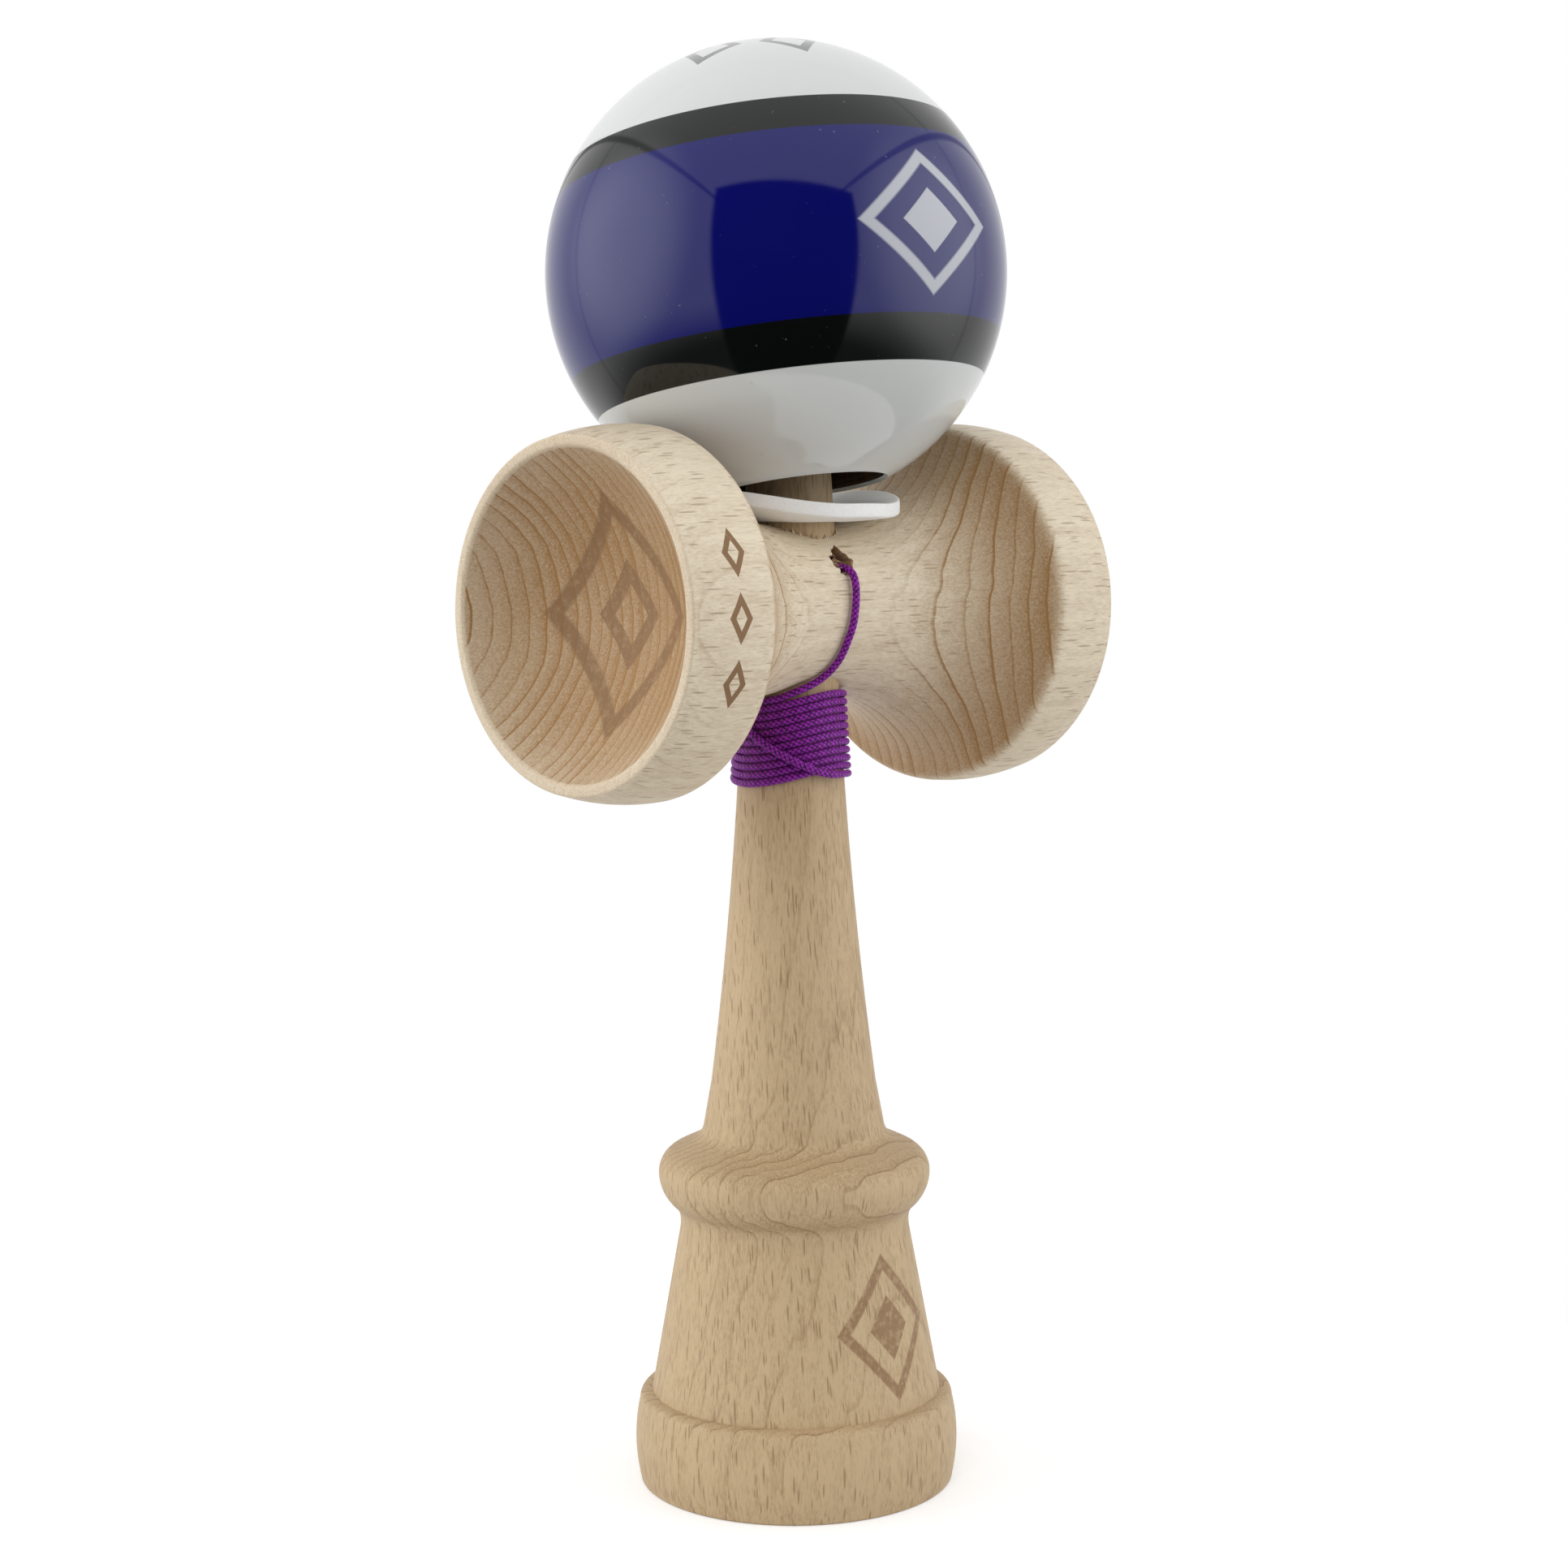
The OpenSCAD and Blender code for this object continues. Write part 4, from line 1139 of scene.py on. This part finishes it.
class KENDAMA_OT_stage(Operator):
    """Camera, light tent and floor"""
    bl_idname = "kendama.stage"
    bl_label = "Stage"

    def execute(self, context):
        stage = context.scene.kendama_stage
        towards = Vector((math.sin(stage.azimuth) * math.cos(stage.elevation),
                          -math.cos(stage.azimuth) * math.cos(stage.elevation), math.sin(stage.elevation)))
        right = Vector((0.0, 0.0, 1.0)).cross(towards).normalized()
        up = towards.cross(right)
        turn = Matrix((right, up, towards)).transposed() @ Matrix.Rotation(stage.roll, 3, "Z")
        lens = bpy.data.cameras.new("camera")
        lens.lens = stage.lens
        lens.sensor_width = SENSOR_WIDTH
        lens.sensor_fit = "HORIZONTAL"
        lens.clip_start = CLIP_START
        camera = bpy.data.objects.new("camera", lens)
        spot = Vector((stage.target_x, 0.0, stage.target_z)) + towards * stage.distance
        camera.matrix_world = Matrix.Translation(spot) @ turn.to_4x4()
        context.scene.collection.objects.link(camera)
        context.scene.camera = camera
        context.scene.view_settings.view_transform = "Standard"
        self.light_tent(context, towards, right, up, stage.window)
        self.fill_lamp(context, towards, right, up, stage.fill)
        self.floor(context, stage.floor_radius)
        return {"FINISHED"}

    @staticmethod
    def light_tent(context, towards, right, up, window):
        """World of white walls with thin dark seams, two soft boxes and a dark square opening in front."""
        world = bpy.data.worlds.new("light_tent")
        world.use_nodes = True
        context.scene.world = world
        nodes = Nodes(world.node_tree)
        look = nodes.outputs("ShaderNodeTexCoord")["Generated"]
        ahead, sideways, upwards = [nodes.vector("DOT_PRODUCT", look, way) for way in (towards, right, up)]
        aside = abs(sideways)
        # The opening lies a little to the right, and reaches down to the table
        rim = nodes.most(abs(sideways - ahead * WINDOW_SHIFT), upwards)
        opening = rim / nodes.most(ahead, WINDOW_NEAR)
        wall = nodes.ramp(opening, window - WINDOW_SOFT, window + WINDOW_SOFT, WINDOW_LEFT, 1.0)
        # Seams run back along the upper corners and down the walls' far ends
        corner = abs(aside - upwards) / nodes.most(aside, abs(upwards))
        far_end = nodes.ramp(abs(ahead + FAR_END), 0.005, 0.03, 0.6, 1.0)
        seam = nodes.math("MINIMUM", nodes.ramp(corner, 0.015, 0.06), far_end)
        shade = wall * nodes.ramp(seam, 0.0, 1.0, 0.4, 1.0)
        lower = nodes.ramp(upwards, -0.66, -0.3, 0.08, 1.0)
        glows = []
        for sign, peak in BOXES:
            box = (towards * BOX_AHEAD + right * sign + up * BOX_UP).normalized()
            glows.append(nodes.ramp(nodes.vector("DOT_PRODUCT", look, box), BOX_EDGE, 1.0, 0.0, peak))
        boxes = glows[0] + glows[1]
        light = (nodes.ramp(upwards, 0.35, 0.8, WALL_LOW, WALL_HIGH) + boxes) * shade
        # The camera sees plain white; reflections see white walls with the opening and the soft boxes
        seen, mirrored = nodes.seen()
        backdrop = nodes.blend(mirrored, 1.0, (boxes + WALL_MIRRORED) * shade * lower)
        strength = nodes.blend(seen, light, backdrop)
        back = nodes.value(0, "ShaderNodeBackground", {"Color": WHITE, "Strength": strength})
        nodes.add("ShaderNodeOutputWorld", {"Surface": back})

    @staticmethod
    def fill_lamp(context, towards, right, up, power):
        """Large soft lamp above the camera and to its left, left out of reflections."""
        lamp = bpy.data.lights.new("fill_lamp", "AREA")
        lamp.size = LAMP_SIZE
        lamp.energy = power
        fill = bpy.data.objects.new("fill_lamp", lamp)
        aim = (towards - right * LAMP_LEFT + up * LAMP_UP).normalized()
        facing = aim.to_track_quat("Z", "Y").to_matrix().to_4x4()
        fill.matrix_world = Matrix.Translation(aim * LAMP_DISTANCE) @ facing
        fill.visible_glossy = False
        fill.visible_camera = False
        context.scene.collection.objects.link(fill)

    @staticmethod
    def floor(context, radius):
        """Round pale floor that keeps the shadow; what the camera sees of it is brought up to white."""
        mesh = bpy.data.meshes.new("floor")
        rim = round_points(radius, full_turn(FLOOR_CORNERS), 0.0)
        mesh.from_pydata(rim.tolist(), [], [tuple(range(FLOOR_CORNERS))])
        floor = bpy.data.objects.new("floor", mesh)
        context.scene.collection.objects.link(floor)
        material, nodes = new_material("pale_floor")
        matt = nodes.value(0, "ShaderNodeBsdfDiffuse", {"Color": (FLOOR_PALE, FLOOR_PALE, FLOOR_PALE, 1.0)})
        seen, _ = nodes.seen()
        glow = nodes.value(0, "ShaderNodeEmission", {"Color": WHITE, "Strength": seen * FLOOR_GLOW})
        both = nodes.value(0, "ShaderNodeAddShader", {0: matt, 1: glow})
        nodes.add("ShaderNodeOutputMaterial", {"Surface": both})
        floor.data.materials.append(material)


class KENDAMA_OT_bead(Operator):
    """Stop bead inside the ball"""
    bl_idname = "kendama.bead"
    bl_label = "Bead"

    def execute(self, context):
        scene = context.scene
        turned = lathe(bead_outline(scene.kendama_bead), BEAD_COLUMNS)
        points = placed(turned, leaning(scene.kendama_tama.lean), middle(BEAD_LOW, BEAD_HIGH))
        piece = new_piece("bead_turned", grid_mesh("bead_turned", points, ring=True))
        finishes = scene.kendama_finishes
        wood = beech_material("bead_beech", finishes.ken_pale, finishes.ken_dark, finishes, KEN_WOOD)
        finished(piece, [wood], "tether", "bead_wood", "bead")
        return {"FINISHED"}


class KENDAMA_OT_string(Operator):
    """Braided string from the waist's hole, round the grip, over the ball and into it, with two knots"""
    bl_idname = "kendama.string"
    bl_label = "String"

    def execute(self, context):
        scene = context.scene
        string, ken = scene.kendama_string, scene.kendama_ken
        braid = braid_material(scene.kendama_finishes)
        stops = [np.array(LEAD_ROUTE) * MM, winding_route(ken, string), np.array(RISE_ROUTE) * MM,
                 np.array(OVER_ROUTE) * MM]
        route, run = smooth_route(np.concatenate(stops), ROUTE_STEP)
        # The tube's sides are counted from X on the lead and behind the ball, and from Z on the winding
        lead_end = steps(stops[0]).sum()
        wound_end = lead_end + steps(stops[1]).sum()
        wound = np.clip((run - lead_end) / TURN_IN + 0.5, 0.0, 1.0)[:, None]
        wound = wound * np.clip((wound_end - run) / TURN_OUT + 1.2, 0.0, 1.0)[:, None]
        hint = (1.0 - wound) * np.array([1.0, 0.0, 0.0]) + wound * np.array([0.0, 0.0, 1.0])
        tube = braided_tube("string_braided", route, run, hint, string)
        piece = new_piece("string_braided", tube, STRING_CREASE)
        piece.data.materials.append(braid)
        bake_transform(piece)
        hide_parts("string_lead", "string_winding", "string_rise", "string_over_ball")
        for name, body, low, high in (("anchor_knot", "handle", ANCHOR_LOW, ANCHOR_HIGH),
                                      ("bead_knot", "tether", BEAD_KNOT_LOW, BEAD_KNOT_HIGH)):
            loop = knot_route(low, high, string)
            spread = np.linspace(0.0, KNOT_STITCHES * string.strand, len(loop), endpoint=False)
            mesh = braided_tube(name + "_tied", loop, spread, np.array([0.0, 0.0, 1.0]), string, ring=True)
            knot = new_piece(name + "_tied", mesh, STRING_CREASE)
            finished(knot, [braid], body, "braid", name)
        return {"FINISHED"}


class KENDAMA_OT_ken(Operator):
    """Turned handle with its base cup, collar, grip and spike"""
    bl_idname = "kendama.ken"
    bl_label = "Ken"

    def execute(self, context):
        scene = context.scene
        ken, sarado, finishes = scene.kendama_ken, scene.kendama_sarado, scene.kendama_finishes
        points = lathe(ken_outline(ken, sarado), TURNED_COLUMNS)
        piece = new_piece("ken_turned", grid_mesh("ken_turned", points))
        waist_r = sarado.waist_d / 2.0
        cut(piece, [hole_cutter("knot_hole_cutter", ken.knot_hole_d, sarado, -waist_r, waist_r)])
        wood = beech_material("ken_beech", finishes.ken_pale, finishes.ken_dark, finishes, KEN_WOOD,
                              ken_marks)
        finished(piece, [wood], "handle", "beech", "ken")
        return {"FINISHED"}


class KENDAMA_OT_sarado(Operator):
    """Turned crossbar with its two cups, tapered seat and torn string hole"""
    bl_idname = "kendama.sarado"
    bl_label = "Sarado"

    def execute(self, context):
        scene = context.scene
        sarado, ken, finishes = scene.kendama_sarado, scene.kendama_ken, scene.kendama_finishes
        big = cup_outline(sarado, SARADO_HIGH[0], sarado.big_mouth_d, sarado.big_back_d, sarado.big_swell,
                          sarado.big_bowl_d, sarado.big_bowl_r)
        small = cup_outline(sarado, -SARADO_LOW[0], sarado.small_mouth_d, sarado.small_back_d,
                            sarado.small_swell, sarado.small_bowl_d, sarado.small_bowl_r)
        waist_r, waist_half = sarado.waist_d / 2.0, sarado.waist_l / 2.0
        waist = straight((waist_r, -waist_half), (waist_r, waist_half), 9)
        lying = Matrix.Rotation(math.pi / 2.0, 3, "Y")
        outline = joined(small * (1.0, -1.0), waist, big[::-1])
        points = placed(lathe(outline, TURNED_COLUMNS), lying, (0.0, 0.0, SARADO_AXIS_Z))
        piece = new_piece("sarado_turned", grid_mesh("sarado_turned", points))
        string_hole = hole_cutter("string_hole_cutter", sarado.string_hole_d, sarado, -sarado.waist_d, 0.0,
                                  sarado.chip)
        cut(piece, [seat_cutter(ken, sarado), string_hole])
        add_mesh(piece, hole_fibres(sarado))
        add_mesh(piece, seat_fibres(ken, sarado))
        wood = beech_material("sarado_beech", finishes.sarado_pale, finishes.sarado_dark, finishes,
                              SARADO_WOOD, lambda nodes: sarado_marks_and_hole_shade(nodes, sarado), sarado_rim)
        finished(piece, [wood], "handle", "beech", "sarado")
        return {"FINISHED"}


class KENDAMA_OT_tama(Operator):
    """Lacquered ball with its bore and pole hole"""
    bl_idname = "kendama.tama"
    bl_label = "Tama"

    def execute(self, context):
        scene = context.scene
        tama, finishes = scene.kendama_tama, scene.kendama_finishes
        radius = (TAMA_HIGH[0] - TAMA_LOW[0]) / 2.0
        centre = middle(TAMA_LOW, TAMA_HIGH)
        centre[2] = TAMA_HIGH[2] - radius
        outside, inside = tama_outline(tama, radius)
        outline = joined(outside, inside)
        points = placed(lathe(outline, BALL_COLUMNS), leaning(tama.lean), centre)
        mesh = grid_mesh("tama_lacquered", points, ring=True)
        # Lacquer also covers the countersink's first rows and the bevel at the mouth
        sink_rows, bevel_rows = 14, 4
        bare = np.zeros((len(outline), BALL_COLUMNS), dtype=np.int32)
        bare[len(outside) + sink_rows:-bevel_rows] = 1
        mesh.polygons.foreach_set("material_index", bare.ravel())
        piece = new_piece("tama_lacquered", mesh)
        coats = [lacquer_material(finishes, tama, centre), bore_material(finishes, tama, centre)]
        finished(piece, coats, "ball", "lacquer", "tama")
        return {"FINISHED"}


class KENDAMA_OT_washer(Operator):
    """Soft white ring on the spike"""
    bl_idname = "kendama.washer"
    bl_label = "Washer"

    def execute(self, context):
        scene = context.scene
        points = washer_points(scene.kendama_washer, scene.kendama_sarado)
        piece = new_piece("washer_soft", grid_mesh("washer_soft", points, ring=True), RING_CREASE)
        finished(piece, [ring_material(scene.kendama_finishes)], "handle", "soft_ring", "washer")
        return {"FINISHED"}


# Panel and registration

GROUPS = {"kendama_stage": StageSettings, "kendama_finishes": Finishes, "kendama_string": StringSizes,
          "kendama_ken": KenSizes, "kendama_sarado": SaradoSizes, "kendama_tama": TamaSizes,
          "kendama_washer": WasherSizes, "kendama_bead": BeadSizes}
# In the order of building; the bead comes before the string
OPERATORS = (KENDAMA_OT_stage, KENDAMA_OT_bead, KENDAMA_OT_string, KENDAMA_OT_ken, KENDAMA_OT_sarado,
             KENDAMA_OT_tama, KENDAMA_OT_washer)


class KENDAMA_PT_pieces(Panel):
    """Lists the pieces and their sizes"""
    bl_idname = "KENDAMA_PT_pieces"
    bl_label = "Kendama"
    bl_space_type = "VIEW_3D"
    bl_region_type = "UI"
    bl_category = "Kendama"

    def draw(self, context):
        for operator in OPERATORS:
            self.layout.operator(operator.bl_idname, text=operator.bl_label)
        for name, group in GROUPS.items():
            box = self.layout.box()
            box.label(text=group.__doc__)
            for size in group.__annotations__:
                box.prop(getattr(context.scene, name), size)


def register():
    for kind in (*GROUPS.values(), *OPERATORS, KENDAMA_PT_pieces):
        bpy.utils.register_class(kind)
    for name, group in GROUPS.items():
        setattr(bpy.types.Scene, name, PointerProperty(type=group))


def unregister():
    for name in GROUPS:
        delattr(bpy.types.Scene, name)
    for kind in (KENDAMA_PT_pieces, *reversed(OPERATORS), *reversed(GROUPS.values())):
        bpy.utils.unregister_class(kind)


def main():
    """Builds every piece in order."""
    register()
    for build in (bpy.ops.kendama.stage, bpy.ops.kendama.bead, bpy.ops.kendama.string, bpy.ops.kendama.ken,
                  bpy.ops.kendama.sarado, bpy.ops.kendama.tama, bpy.ops.kendama.washer):
        build()


if __name__ == "__main__":
    main()
